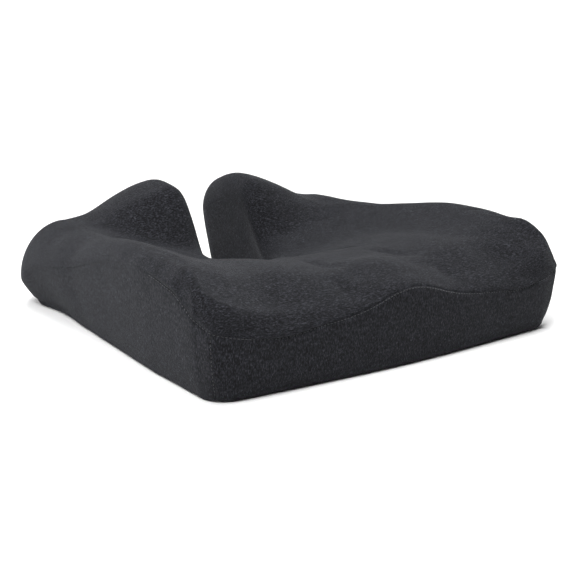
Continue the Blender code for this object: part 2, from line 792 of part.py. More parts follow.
def make_pull(mat, group, cutters):
    """The pull: a plate with a window round the bridge. Its round end bar is the hinge pin, along Y."""
    middle = slider_x()
    pivot = placed((middle, ZIP_Y, PULL_Z))
    radius = PULL_THICK / 2.0
    side_bar = (PULL_WIDTH - PULL_WINDOW[1]) / 2.0
    holder = bpy.data.objects.new("zip_pull_axis", None)
    holder.location = pivot
    group.objects.link(holder)
    bpy.context.view_layer.update()

    origin = np.array([middle, ZIP_Y, PULL_Z])
    half_width = PULL_WIDTH / 2.0
    window_end = -PULL_WINDOW[0]
    plate_low = origin + (-PULL_LENGTH, -half_width, -radius)
    plate_high = origin + (0.0, half_width, radius)
    pull = box("zip_pull", plate_low, plate_high, mat, group)
    window = cutter_box(
        "pull_window",
        origin + (window_end, -PULL_WINDOW[1] / 2.0, -1.0),
        origin + (1.0, PULL_WINDOW[1] / 2.0, 1.0),
        cutters,
    )
    combine(pull, window, "DIFFERENCE")
    waist = half_width - (PULL_WIDTH - PULL_GRIP_WIDTH) / 2.0
    for name, side in (("pull_waist_front", -1.0), ("pull_waist_rear", 1.0)):
        edges = sorted((side * waist, side * (half_width + 1.0)))
        low = origin + (-PULL_LENGTH - 1.0, edges[0], -1.0)
        high = origin + (window_end - side_bar, edges[1], 1.0)
        combine(pull, cutter_box(name, low, high, cutters), "DIFFERENCE")
    slot = cutter_box(
        "pull_slot",
        origin + (-PULL_LENGTH + side_bar, -PULL_GRIP_SLOT[1] / 2.0, -1.0),
        origin + (-PULL_LENGTH + side_bar + PULL_GRIP_SLOT[0], PULL_GRIP_SLOT[1] / 2.0, 1.0),
        cutters,
    )
    combine(pull, slot, "DIFFERENCE")
    bpy.ops.mesh.primitive_cylinder_add(
        vertices=12,
        radius=radius * MM,
        depth=PULL_WIDTH * MM,
        location=pivot,
        rotation=(math.pi / 2.0, 0.0, 0.0),
    )
    pin = bpy.context.object
    pin.name = "pull_pin"
    for owner in list(pin.users_collection):
        owner.objects.unlink(pin)
    cutters.objects.link(pin)
    as_cutter(pin)
    combine(pull, pin, "UNION")
    bpy.context.view_layer.update()
    pull.parent = holder
    pull.matrix_parent_inverse = holder.matrix_world.inverted()


# ---------------------------------------------------------------- the cushion


def main():
    """Builds every sub-part."""
    clear_scene()
    group = collection(COLLECTION)
    cutters = collection(CUTTERS)
    surface = skin()

    knit = material("knit", (0.040, 0.042, 0.047), 0.9)
    foam = material("foam", (0.78, 0.74, 0.60), 0.95)
    jersey = material("jersey", (0.62, 0.62, 0.60), 0.9)
    base = material("base_fabric", (0.020, 0.020, 0.022), 0.95)
    tape = material("tape", (0.018, 0.018, 0.020), 0.85)
    coil = material("coil", (0.022, 0.022, 0.024), 0.45)
    metal = material("zip_metal", (0.10, 0.10, 0.11), 0.35, 1.0)
    label = material("label", (0.72, 0.72, 0.70), 0.7)

    make_foam_core(surface, foam, group, cutters)
    make_liner_top(surface, jersey, group)
    make_liner_base(surface, jersey, group, cutters)
    make_top_panel(surface, knit, group)
    make_middle_band("front_band", surface, 0, surface["corner"], knit, group)
    make_middle_band("notch_band", surface, surface["mouth"], surface["rim"].shape[1] - 1, knit, group)
    make_side_band("left_side_band", surface, -1.0, knit, group)
    make_side_band("right_side_band", surface, 1.0, knit, group)
    make_base_panels(surface, base, group, cutters)
    for name, side in (("front", -1.0), ("rear", 1.0)):
        make_tape("zip_tape_" + name, side, tape, group)
        make_coil("zip_coil_" + name, side, coil, group)
    make_stops(metal, group)
    make_end_tabs(tape, group)
    make_care_label(label, group)
    make_slider(metal, group, cutters)
    make_pull(metal, group, cutters)


main()
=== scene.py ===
"""The look of a contoured seat cushion: knitted cover, foam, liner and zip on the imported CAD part."""

import json
import math

import bmesh
import bpy
import numpy as np
from mathutils import Matrix, Vector
from mathutils.geometry import delaunay_2d_cdt
from mathutils.kdtree import KDTree


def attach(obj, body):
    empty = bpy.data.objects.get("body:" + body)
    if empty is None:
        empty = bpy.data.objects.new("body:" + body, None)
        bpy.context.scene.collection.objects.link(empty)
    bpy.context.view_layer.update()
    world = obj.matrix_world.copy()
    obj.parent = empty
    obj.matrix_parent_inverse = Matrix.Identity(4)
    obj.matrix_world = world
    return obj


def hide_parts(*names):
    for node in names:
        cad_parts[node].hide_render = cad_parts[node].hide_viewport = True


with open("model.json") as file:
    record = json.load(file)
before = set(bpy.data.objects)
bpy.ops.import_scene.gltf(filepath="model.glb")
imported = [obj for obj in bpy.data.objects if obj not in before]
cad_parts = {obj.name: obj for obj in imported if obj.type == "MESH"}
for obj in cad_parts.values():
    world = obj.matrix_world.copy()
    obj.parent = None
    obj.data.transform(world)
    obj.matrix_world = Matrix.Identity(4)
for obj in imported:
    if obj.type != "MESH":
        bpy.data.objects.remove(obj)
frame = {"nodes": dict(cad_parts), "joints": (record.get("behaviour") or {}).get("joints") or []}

# Design sizes below are millimetres. y is measured from the line through the two front corners.
MM = 0.001

# Plan outline of the right half: (x, y, corner radius), front centre to the middle of the notch.
DEPTH = 474.9
NOTCH_ROOT_Y = 255.4
NOTCH_HALF = 42.7
OUTLINE = [
    (0.0, -4.5, 0.0),
    (50.0, -4.5, 600.0),
    (213.6, 0.0, 34.0),
    (220.0, 113.0, 160.0),
    (216.4, 270.0, 110.0),
    (222.0, 350.0, 80.0),
    (225.5, DEPTH - 24.6, 65.0),
    (34.9, DEPTH, 37.3),
    (NOTCH_HALF, NOTCH_ROOT_Y, NOTCH_HALF * 0.96),
    (0.0, NOTCH_ROOT_Y, 0.0),
]
# Outline corners where one span of the grid ends: front corner, rear lobe, notch mouth, notch middle.
SEAM_CORNERS = [2, 6, 7, 9]
# At each outline corner: how far the top rolls in, how far it rolls down, how far the foot is drawn in.
RIM_STATIONS = [
    (17.2, 7.6, 0.7),
    (15.9, 10.4, 1.6),
    (8.7, 25.5, 6.9),
    (19.7, 9.8, 10.7),
    (37.1, 24.6, 13.2),
    (51.2, 37.8, 22.4),
    (48.3, 67.2, 14.3),
    (30.4, 38.7, 11.7),
    (17.7, 22.5, 22.3),
    (17.7, 22.5, 22.3),
]
FOOT_RADIUS = 6.1
ROLL_SLOPE = 0.7
DRAFT_POWER = 1.3

SEAT_HEIGHT = 82.9
SEAT_SLOPE = -1.8
WING_RISE = (25.3, 31.4, 21.9, 17.2)
WING_FROM = 117.8
WING_TO = 219.8
RIDGE_RISE = 19.7
RIDGE_WIDTH = 56.3
RIDGE_END = (-7.3, 92.8)
FRONT_FALL = 22.2
FRONT_FALL_LENGTH = 55.7
CORNER_FALL_CUT = 0.15
CORNER_FALL_FROM = 181.8
CORNER_FALL_WIDTH = 60.0
THIGH_RISE = 7.2
THIGH_X = 115.3
THIGH_WIDTH = 46.2
THIGH_END = (60.0, 249.8)
BASIN_DIP = 31.9
BASIN_WIDTH = 122.6
BASIN_Y = 252.3
BASIN_LENGTH = 87.0
HUMP_RISE = 55.8
HUMP_X = 44.5
HUMP_INNER = 109.5
HUMP_OUTER = 149.7
HUMP_START = 301.5
HUMP_LENGTH = 55.3
REAR_FALL = 22.0
REAR_FALL_LENGTH = 90.8
REAR_FALL_WIDTH = 331.2

FRONT_STEPS = 20
SIDE_STEPS = 40
NOTCH_STEPS = 22
FOOT_STEPS = 2
WALL_STEPS = 8
ROLL_STEPS = 6
FINE = 3
TURN_LENGTH = 70.0
CLIMB_SHARE = 1.5
SEAM_CROWD = 3.0
SEAM_CROWD_WIDTH = 5.0
WALL_CROWD = 1.35
ROLL_CROWD = 1.3
OUTLINE_SAMPLES = 1600
FLATTEST_NORMAL = 0.45

# Cover.
COVER = 0.9
EASE = 1.2
PUFF_CAP = 2.4
PUFF_FRAMES = 20
PUFF_PRESSURE = 4.0
SEAM_DIP = 1.1
SEAM_DIP_WIDTH = 1.5
SEAM_SHOULDER = 0.35
SEAM_SHOULDER_WIDTH = 5.0
SEAM_FAINT = 0.06
SEAM_FADE = 90.0
SEAM_FADE_END = 110.0
PUCKER = 0.15
PUCKER_WIDTH = 8.0
CORNER_PUSH = 4.5
CORNER_WIDTH = 14.0
CORNER_POWER = 1.5
CORNER_CLIMB = 40.0
CORNER_FADE = 24.0
CORNER_PULL = 0.5
MOUTH_PULL = 0.1
GATHER_LENGTH = 4.5
RIPPLE_ROOT = 20.0
RELIEF_CLIMB = 14.0
SLACK = 0.18
SLACK_LENGTH = 62.0
SLACK_FINE = 0.05
SLACK_FINE_LENGTH = 28.0
RIPPLE_LENGTH = 9.0

ZIP_Y = 195.0
ZIP_HALF = 148.0
RECESS_HALF_LENGTH = 182.0
RECESS_HALF_WIDTH = 19.0
# The recess's sides lean in by this much up to the zip's tapes.
RECESS_SLOPE = 7.0
FUNNEL_TOP = 6.1

LINER_DEPTH = 2.2
LINER = 0.6
FOAM_DEPTH = 3.2
FOAM_RECESS_MARGIN = 5.8
FOAM_RECESS_TOP = 9.9

# Underside and zip.
BASE_LOW = 0.6
BASE_FABRIC = 1.0
BASE_INSET = 0.4
FOLD_RADIUS = 0.4
DOT_PITCH = 9.0
DOT_RADIUS = 1.9
DOT_EDGE = 13.0
DOT_ZIP_GAP = 9.0
DOT_SEAM_GAP = 6.0
DOT_SIDES = 10
# Rings of one dot: share of its radius, and height.
DOT_RINGS = [(1.0, BASE_LOW + 0.1), (0.93, 0.30), (0.62, 0.08)]
TOPSTITCH_GAP = 3.0
TOPSTITCH_START = 2.0
TOPSTITCH_SINK = 0.02
STITCH_PITCH = 3.6
STITCH_LENGTH = 2.7
STITCH_RADIUS = 0.28
STITCH_SIDES = 6
# One stitch along its length: share of the length, thickness and rise.
STITCH_SHAPE = [(-0.5, 0.25, -0.7), (-0.36, 0.9, 0.1), (0.0, 1.0, 0.35), (0.36, 0.9, 0.1), (0.5, 0.25, -0.7)]
SIDE_STITCH_COLUMNS = 36
COIL_PITCH = 1.3
COIL_WIRE = 0.27
COIL_Z = 5.15
COIL_MIDDLE = 1.5
COIL_REACH = 1.6
COIL_RISE = 0.66
COIL_TURN_STEPS = 10
COIL_SIDES = 5
SLIDER_LENGTH = 14.0
SLIDER_WIDTH = 9.4
SLIDER_LOW_Z = 3.0
SLIDER_HIGH_Z = 7.3
SLIDER_PLATE = 0.9
SLIDER_RAIL_TOP = 5.9
BRIDGE_STEPS = 16
BRIDGE_REACH = 2.85
BRIDGE_RISE = 2.05
PULL_Z = 2.2
PULL_LENGTH = 26.0
PULL_WIDTH = 6.4

# Camera and light.
CAMERA_AZIMUTH = 34.78
CAMERA_ELEVATION = 13.91
CAMERA_ROLL = 0.12
CAMERA_DISTANCE = 1.049
CAMERA_TARGET = (6.4, 206.2, 30.1)
CAMERA_LENS = 59.43
WORLD_LIGHT = 0.02
FLOOR_START = -40.0
FLOOR_LENGTH = 4.5
FLOOR_WIDTH = 80.0
FLOOR_GAP = 0.0003
BACKDROP_RADIUS = 1.5
BACKDROP_HEIGHT = 5.0
BACKDROP_STEPS = 12
GLOW_FROM = 0.9
GLOW_TO = 2.5
# Name, place, what it points at, diameter, power.
LIGHTS = [
    ("overhead", (0.0, 0.0, 2.2), (0.0, 0.0, 0.03), 1.6, 51.0),
    ("overhead right", (0.7, 0.0, 2.1), (0.0, 0.0, 0.03), 1.2, 9.0),
    ("left front", (-1.3, -0.7, 1.7), (0.0, 0.0, 0.03), 1.2, 42.0),
    ("left", (-1.3, 0.3, 1.7), (0.0, 0.0, 0.03), 1.2, 9.0),
]

# Colours of the knit, and its stitches' width and height in metres.
KNIT_DARK = (0.0018, 0.0019, 0.0025)
KNIT_MID = (0.0094, 0.0098, 0.0122)
KNIT_LIGHT = (0.0400, 0.0415, 0.0495)
WALE = 0.0011
COURSE = 0.0009
# How fast the top's fibres change with height, so that steep cloth isn't streaked, per metre.
TOP_CLIMB = 900.0


# ---------------------------------------------------------------- curves and heights


def ease(t):
    """From 0 to 1 with a soft start and end."""
    t = np.clip(t, 0.0, 1.0)
    return t * t * (3.0 - 2.0 * t)


def bell(t):
    """1 at 0, falling away to both sides."""
    return np.exp(-t * t)


def steps_through(stations, values, at):
    """The values at the stations, eased from each to the next."""
    result = np.full_like(at, values[0], dtype=float)
    for k in range(len(stations) - 1):
        share = ease((at - stations[k]) / (stations[k + 1] - stations[k]))
        result = result + (values[k + 1] - values[k]) * share
    return result


def curve_through(stations, values, at):
    """A smooth curve through the values that never overshoots them."""
    gaps = np.diff(stations)
    slopes = np.diff(values) / gaps
    tangents = np.zeros(len(values))
    for k in range(1, len(gaps)):
        before, after = slopes[k - 1], slopes[k]
        if before * after > 0.0:
            shares = (gaps[k - 1] + 2.0 * gaps[k], 2.0 * gaps[k - 1] + gaps[k])
            tangents[k] = sum(shares) / (shares[0] / before + shares[1] / after)
    span = np.clip(np.searchsorted(stations, at) - 1, 0, len(gaps) - 1)
    t = (at - stations[span]) / gaps[span]
    rest = 1.0 - t
    bend = (tangents[span] * rest - tangents[span + 1] * t) * t * rest * gaps[span]
    return values[span] + (values[span + 1] - values[span]) * ease(t) + bend


def crown_height(x, y):
    """Height of the seat over a place in the plan."""
    side = np.abs(x)
    z = SEAT_HEIGHT + SEAT_SLOPE * (y - DEPTH / 2.0) / DEPTH
    rise = steps_through(np.linspace(0.0, DEPTH, len(WING_RISE)), WING_RISE, y)
    z = z + rise * ease((side - WING_FROM) / (WING_TO - WING_FROM))
    fading = 1.0 - ease((y - RIDGE_END[0]) / (RIDGE_END[1] - RIDGE_END[0]))
    z = z + RIDGE_RISE * bell(x / RIDGE_WIDTH) * fading
    corner = ease((side - CORNER_FALL_FROM) / CORNER_FALL_WIDTH)
    z = z - FRONT_FALL * (1.0 - ease(y / FRONT_FALL_LENGTH)) * (1.0 - CORNER_FALL_CUT * corner)
    fading = 1.0 - ease((y - THIGH_END[0]) / (THIGH_END[1] - THIGH_END[0]))
    z = z + THIGH_RISE * bell((side - THIGH_X) / THIGH_WIDTH) * fading
    z = z - BASIN_DIP * bell(x / BASIN_WIDTH) * bell((y - BASIN_Y) / BASIN_LENGTH)
    from_peak = side - HUMP_X
    hump = np.where(from_peak < 0.0, bell(from_peak / HUMP_INNER), 1.0 - ease(from_peak / HUMP_OUTER))
    z = z + HUMP_RISE * hump * ease((y - HUMP_START) / HUMP_LENGTH)
    rear = ease((y - DEPTH + REAR_FALL_LENGTH) / REAR_FALL_LENGTH)
    return z - REAR_FALL * rear * bell(x / REAR_FALL_WIDTH)


def crown_slope(places, directions):
    """How steeply the seat rises along unit directions in the plan."""
    ahead = places + directions
    behind = places - directions
    return (crown_height(ahead[:, 0], ahead[:, 1]) - crown_height(behind[:, 0], behind[:, 1])) / 2.0


def unit(vectors):
    """The vectors at length 1."""
    length = np.linalg.norm(vectors, axis=-1, keepdims=True)
    return vectors / np.maximum(length, 1e-9)


def rounded_path(corners, step=0.05):
    """Points of a polyline with rounded corners, its lengths, and the length at each corner's middle."""
    points = []
    middles = []
    for k, (x, y, radius) in enumerate(corners):
        here = np.array([x, y])
        if radius <= 0.0:
            middles.append(len(points))
            points.append(here)
            continue
        back = unit(np.array(corners[k - 1][:2]) - here)
        ahead = unit(np.array(corners[k + 1][:2]) - here)
        half_angle = math.acos(float(np.clip(back @ ahead, -1.0, 1.0))) / 2.0
        centre = here + unit(back + ahead) * radius / math.sin(half_angle)
        first = here + back * radius / math.tan(half_angle) - centre
        last = here + ahead * radius / math.tan(half_angle) - centre
        start = math.atan2(first[1], first[0])
        sweep = (math.atan2(last[1], last[0]) - start + math.pi) % (2.0 * math.pi) - math.pi
        count = 2 * max(2, int(abs(sweep) / step / 2.0))
        middles.append(len(points) + count // 2)
        for angle in start + sweep * np.linspace(0.0, 1.0, count + 1):
            points.append(centre + radius * np.array([math.cos(angle), math.sin(angle)]))
    points = np.array(points)
    lengths = np.concatenate([[0.0], np.cumsum(np.linalg.norm(np.diff(points, axis=0), axis=1))])
    return points, lengths, lengths[middles]


def along_outline(points, lengths, at):
    """Places at lengths along the half outline, which goes on as its mirror image past both ends."""
    total = lengths[-1]
    inside = np.where(at < 0.0, -at, np.where(at > total, 2.0 * total - at, at))
    x = np.interp(inside, lengths, points[:, 0])
    y = np.interp(inside, lengths, points[:, 1])
    x = np.where((at < 0.0) | (at > total), -x, x)
    return np.stack([x, y], axis=-1)


def columns(points, lengths, marks, counts):
    """Lengths of the grid's columns: closer in turns, on climbs and at the two upright seams."""
    dense = np.linspace(0.0, lengths[-1], OUTLINE_SAMPLES)
    places = along_outline(points, lengths, dense)
    steps = np.diff(places, axis=0)
    heading = np.unwrap(np.arctan2(steps[:, 1], steps[:, 0]))
    turned = np.abs(np.diff(heading, append=heading[-1]))
    climbed = np.abs(np.diff(crown_height(places[:, 0], places[:, 1])))
    length = np.linalg.norm(steps, axis=1)
    crowd = sum(bell((dense[1:] - marks[k]) / SEAM_CROWD_WIDTH) for k in (1, 3))
    weight = length * (1.0 + SEAM_CROWD * crowd) + TURN_LENGTH * turned + CLIMB_SHARE * climbed
    measure = np.concatenate([[0.0], np.cumsum(weight)])
    at = [np.zeros(1)]
    for k, count in enumerate(counts):
        ends = np.interp(marks[k : k + 2], dense, measure)
        at.append(np.interp(np.linspace(ends[0], ends[1], count + 1)[1:], measure, dense))
    return np.concatenate(at)


# ---------------------------------------------------------------- the cushion's skin


def skin(fine):
    """The right half's outer surface: grids of the rim and the crown, and facts about them."""
    points, lengths, stations = rounded_path(OUTLINE)
    marks = [0.0, *stations[SEAM_CORNERS]]
    counts = [n * fine for n in (FRONT_STEPS, SIDE_STEPS, FRONT_STEPS, NOTCH_STEPS)]
    at = columns(points, lengths, marks, counts)
    edge = along_outline(points, lengths, at)
    ahead = unit(along_outline(points, lengths, at + 2.0) - along_outline(points, lengths, at - 2.0))
    outward = np.stack([ahead[:, 1], -ahead[:, 0]], axis=-1)
    outward[[0, -1], 0] = 0.0
    outward = unit(outward)
    sections = [curve_through(stations, values, at) for values in np.array(RIM_STATIONS).T]
    rim = rim_grid(edge, outward, *sections, fine)
    crown = crown_patch(rim[-1][:, :2], fine)
    crown = lifted(crown, crown_height(crown[..., 0], crown[..., 1]))
    steps = np.linalg.norm(np.diff(rim, axis=0), axis=-1)
    return {
        "rim": rim,
        "rim_normals": rim_normals(rim),
        "crown": crown,
        "crown_normals": crown_normals(crown),
        "outward": outward,
        "at": at,
        "climb": np.concatenate([np.zeros((1, len(at))), np.cumsum(steps, axis=0)]),
        "marks": marks,
        "seam": (FOOT_STEPS + WALL_STEPS) * fine,
        "corner": counts[0],
        "mouth": sum(counts[:3]),
        "spans": np.cumsum([0] + counts),
    }


def lifted(plan, z):
    """Places in the plan, raised to the heights."""
    return np.concatenate([plan, np.broadcast_to(z, plan.shape[:-1])[..., None]], axis=-1)


def rim_grid(edge, outward, roll_in, roll_down, draft, fine):
    """Rows of points: the rounded foot, the wall up to the seam, and the roll over to the seat."""
    inset = edge - outward * roll_in[:, None]
    crown_edge = crown_height(inset[:, 0], inset[:, 1])
    wall_top = crown_edge - roll_down
    steepest = ROLL_SLOPE * roll_down / roll_in
    slope = np.clip(crown_slope(inset, outward), -steepest, steepest)
    foot_steps, wall_steps, roll_steps = FOOT_STEPS * fine, WALL_STEPS * fine, ROLL_STEPS * fine
    rows = []
    for k in range(foot_steps + 1):
        angle = math.pi / 2.0 * k / foot_steps
        rows.append((-draft - FOOT_RADIUS * (1.0 - math.sin(angle)), FOOT_RADIUS * (1.0 - math.cos(angle))))
    for k in range(1, wall_steps + 1):
        share = 1.0 - (1.0 - k / wall_steps) ** WALL_CROWD
        rows.append((-draft * (1.0 - share) ** DRAFT_POWER, FOOT_RADIUS + (wall_top - FOOT_RADIUS) * share))
    for k in range(1, roll_steps + 1):
        angle = math.pi / 2.0 * (k / roll_steps) ** ROLL_CROWD
        drop = roll_down * (1.0 - math.sin(angle))
        z = crown_edge - drop + slope * roll_in * math.cos(angle) * math.sin(angle)
        rows.append((-roll_in * (1.0 - math.cos(angle)), z))
    return np.array([lifted(edge + outward * shift[:, None], z) for shift, z in rows])


def crown_patch(loop, fine):
    """Grid of plan places inside the right half's loop: rows run outward, columns to the rear."""
    front_steps, side_steps, notch_steps = FRONT_STEPS * fine, SIDE_STEPS * fine, NOTCH_STEPS * fine
    side_end = front_steps + side_steps
    rear_end = side_end + front_steps
    front = loop[: front_steps + 1]
    side = loop[front_steps : side_end + 1]
    rear = loop[side_end : rear_end + 1][::-1]
    notch = loop[rear_end:][::-1]
    middle_y = np.linspace(front[0, 1], notch[0, 1], side_steps - notch_steps + 1)
    middle = np.column_stack([np.zeros_like(middle_y), middle_y])
    inner = np.concatenate([middle, notch[1:]])
    u = np.linspace(0.0, 1.0, front_steps + 1)[None, :, None]
    v = np.linspace(0.0, 1.0, side_steps + 1)[:, None, None]
    across = (1.0 - v) * front + v * rear
    along = (1.0 - u) * inner[:, None] + u * side[:, None]
    front_ends = (1.0 - u) * front[0] + u * front[-1]
    rear_ends = (1.0 - u) * rear[0] + u * rear[-1]
    return across + along - (1.0 - v) * front_ends - v * rear_ends


def rim_normals(rim):
    """Outward unit normals of the rim's grid."""
    flip = np.array([-1.0, 1.0, 1.0])
    wide = np.concatenate([rim[:, 1:2] * flip, rim, rim[:, -2:-1] * flip], axis=1)
    along = wide[:, 2:] - wide[:, :-2]
    up = np.gradient(rim, axis=0)
    normals = unit(np.cross(along, up))
    normals[0] = (0.0, 0.0, -1.0)
    normals[-1] = crown_normals(rim[-1])
    normals[:, [0, -1], 0] = 0.0
    return unit(normals)


def crown_normals(points):
    """Upward unit normals of the seat."""
    x, y = points[..., 0], points[..., 1]
    slope_x = (crown_height(x + 1.0, y) - crown_height(x - 1.0, y)) / 2.0
    slope_y = (crown_height(x, y + 1.0) - crown_height(x, y - 1.0)) / 2.0
    return unit(np.stack([-slope_x, -slope_y, np.ones_like(x)], axis=-1))


PIVOT = [j for j in frame["joints"] if j["type"] == "hinge"][0]["pos_m"]
SHIFT = np.array([0.0, ZIP_Y * MM - PIVOT[1], 0.0])
HALVES = {"right": 1.0, "left": -1.0}


def placed(points):
    """Design millimetres to metres in the part's frame."""
    return np.asarray(points, float) * MM - SHIFT


# ---------------------------------------------------------------- meshes


def add_grid(bm, layer, points, cloth):
    """Adds a grid of quads with cloth coordinates, both in millimetres."""
    rows, cols = points.shape[:2]
    where = placed(points)
    verts = [[bm.verts.new(where[i, j]) for j in range(cols)] for i in range(rows)]
    for i in range(rows - 1):
        for j in range(cols - 1):
            corners = ((i, j), (i, j + 1), (i + 1, j + 1), (i + 1, j))
            face = bm.faces.new([verts[a][b] for a, b in corners])
            if layer is not None:
                for loop, (a, b) in zip(face.loops, corners):
                    loop[layer].uv = cloth[a, b] * MM


def sheet(name, grids, facing, weld=0.00002):
    """One mesh of the grids, joined along shared edges. Its first face looks along facing."""
    bm = bmesh.new()
    layer = bm.loops.layers.uv.new("cloth")
    for points, cloth in grids:
        add_grid(bm, layer, points, cloth)
    bmesh.ops.remove_doubles(bm, verts=bm.verts, dist=weld)
    bmesh.ops.recalc_face_normals(bm, faces=bm.faces)
    bm.faces.ensure_lookup_table()
    if bm.faces[0].normal.dot(facing) < 0.0:
        bmesh.ops.reverse_faces(bm, faces=bm.faces)
    return finished_object(name, bm)


def finished_object(name, bm, smooth=True):
    """A linked object of the bmesh, which is freed."""
    mesh = bpy.data.meshes.new(name)
    bm.to_mesh(mesh)
    bm.free()
    if smooth:
        mesh.shade_smooth()
    obj = bpy.data.objects.new(name, mesh)
    bpy.context.scene.collection.objects.link(obj)
    return obj


def thicken(obj, thickness):
    """Gives a sheet its thickness, on the inside."""
    modifier = obj.modifiers.new("thickness", "SOLIDIFY")
    modifier.thickness = thickness * MM
    modifier.offset = -1.0
    modifier.use_even_offset = False


def give(obj, mat):
    """Makes it the object's only material."""
    obj.data.materials.clear()
    obj.data.materials.append(mat)


# ---------------------------------------------------------------- cloth simulation


def mirrored(points, side):
    """The points on the right side (1) or the left side (-1)."""
    return points * np.array([side, 1.0, 1.0])


def puffed(surface):
    """How far rim and crown points move where the cover swells between its seams, for both halves."""
    rim = surface["rim"] + surface["rim_normals"] * EASE
    rim[0] = surface["rim"][0]
    crown = surface["crown"] + surface["crown_normals"] * EASE
    floor = lifted(crown_patch(rim[0][:, :2], 1), 0.0)
    bm = bmesh.new()
    for side in HALVES.values():
        for grid in (rim, crown, floor):
            add_grid(bm, None, mirrored(grid, side), None)
    bmesh.ops.remove_doubles(bm, verts=bm.verts, dist=0.0001)
    bmesh.ops.recalc_face_normals(bm, faces=bm.faces)
    obj = finished_object("puff", bm)
    tree = KDTree(len(obj.data.vertices))
    for vertex in obj.data.vertices:
        tree.insert(vertex.co, vertex.index)
    tree.balance()

    def indices(grid):
        found = [tree.find(place)[1] for place in placed(grid).reshape(-1, 3)]
        return np.array(found).reshape(grid.shape[:-1])

    seam = surface["seam"]
    pins = set()
    for side in HALVES.values():
        found = indices(mirrored(rim, side))
        held = (
            found[: FOOT_STEPS + 1],
            found[seam],
            found[: seam + 1, [surface["corner"], surface["mouth"]]],
            indices(mirrored(floor, side)),
        )
        for part in held:
            pins.update(part.ravel().tolist())
    moved = simulated(obj, sorted(pins))
    result = {}
    for name, side in HALVES.items():
        rim_moved = moved[indices(mirrored(rim, side))] + mirrored(surface["rim_normals"], side) * EASE
        rim_moved[: FOOT_STEPS + 1] = 0.0
        crown_moved = moved[indices(mirrored(crown, side))] + mirrored(surface["crown_normals"], side) * EASE
        result[name] = (rim_moved, crown_moved)
    bpy.data.objects.remove(obj, do_unlink=True)
    return result


def simulated(obj, pins):
    """How far pressure moves each vertex of the closed cloth, in millimetres, softly limited."""
    group = obj.vertex_groups.new(name="pins")
    group.add(pins, 1.0, "REPLACE")
    cloth = obj.modifiers.new("cloth", "CLOTH")
    settings = cloth.settings
    settings.quality = 6
    settings.mass = 0.3
    settings.tension_stiffness = 30.0
    settings.compression_stiffness = 30.0
    settings.shear_stiffness = 10.0
    settings.bending_stiffness = 1.0
    settings.vertex_group_mass = "pins"
    settings.pin_stiffness = 1.0
    settings.use_pressure = True
    settings.uniform_pressure_force = PUFF_PRESSURE
    settings.effector_weights.gravity = 0.0
    cloth.collision_settings.use_collision = False
    cloth.point_cache.frame_start = 1
    cloth.point_cache.frame_end = PUFF_FRAMES
    scene = bpy.context.scene
    for number in range(1, PUFF_FRAMES + 1):
        scene.frame_set(number)
    graph = bpy.context.evaluated_depsgraph_get()
    settled = np.array([v.co for v in obj.evaluated_get(graph).data.vertices])
    scene.frame_set(1)
    moved = (settled - np.array([v.co for v in obj.data.vertices])) / MM
    length = np.linalg.norm(moved, axis=1, keepdims=True)
    return unit(moved) * np.tanh(length / PUFF_CAP) * PUFF_CAP


def cubic_weights(count, fine):
    """Matrix that turns count + 1 values into count * fine + 1 values on a smooth curve."""
    weights = np.zeros((count * fine + 1, count + 1))
    for i in range(count * fine + 1):
        j = min(i // fine, count - 1)
        t = i / fine - j
        parts = (
            -0.5 * t + t**2 - 0.5 * t**3,
            1.0 - 2.5 * t**2 + 1.5 * t**3,
            0.5 * t + 2.0 * t**2 - 1.5 * t**3,
            -0.5 * t**2 + 0.5 * t**3,
        )
        for offset, part in zip((-1, 0, 1, 2), parts):
            weights[i, min(max(j + offset, 0), count)] += part
    return weights


def refine(values, row_parts, column_parts, fine):
    """The grid's values on the finer grid, smooth within each part and with a free bend between parts."""
    for axis, parts in ((0, row_parts), (1, column_parts)):
        values = np.moveaxis(values, axis, 0)
        pieces = []
        for first, last in zip(parts[:-1], parts[1:]):
            made = np.tensordot(cubic_weights(last - first, fine), values[first : last + 1], axes=1)
            pieces.append(made[(1 if pieces else 0) :])
        values = np.moveaxis(np.concatenate(pieces), 0, axis)
    return values


# ---------------------------------------------------------------- the cover's surface


def waves(points, seed, length, count=6):
    """Smooth random waves over space, about -1 to 1, of roughly the given length."""
    draw = np.random.default_rng(seed)
    total = np.zeros(points.shape[:-1])
    for _ in range(count):
        along = points @ unit(draw.normal(size=3)) * 2.0 * math.pi
        own_length = length * draw.uniform(0.7, 1.4)
        total = total + np.sin(along / own_length + draw.uniform(0.0, 6.28))
    return total / math.sqrt(count)


def slack(points):
    """Slow unevenness of the stretched cloth."""
    return waves(points, 5, SLACK_LENGTH) * SLACK + waves(points, 6, SLACK_FINE_LENGTH) * SLACK_FINE


def seam_dip(away):
    """How deep the cloth lies at a distance from a seam."""
    return SEAM_DIP * bell(away / SEAM_DIP_WIDTH) + SEAM_SHOULDER * np.exp(-away / SEAM_SHOULDER_WIDTH)


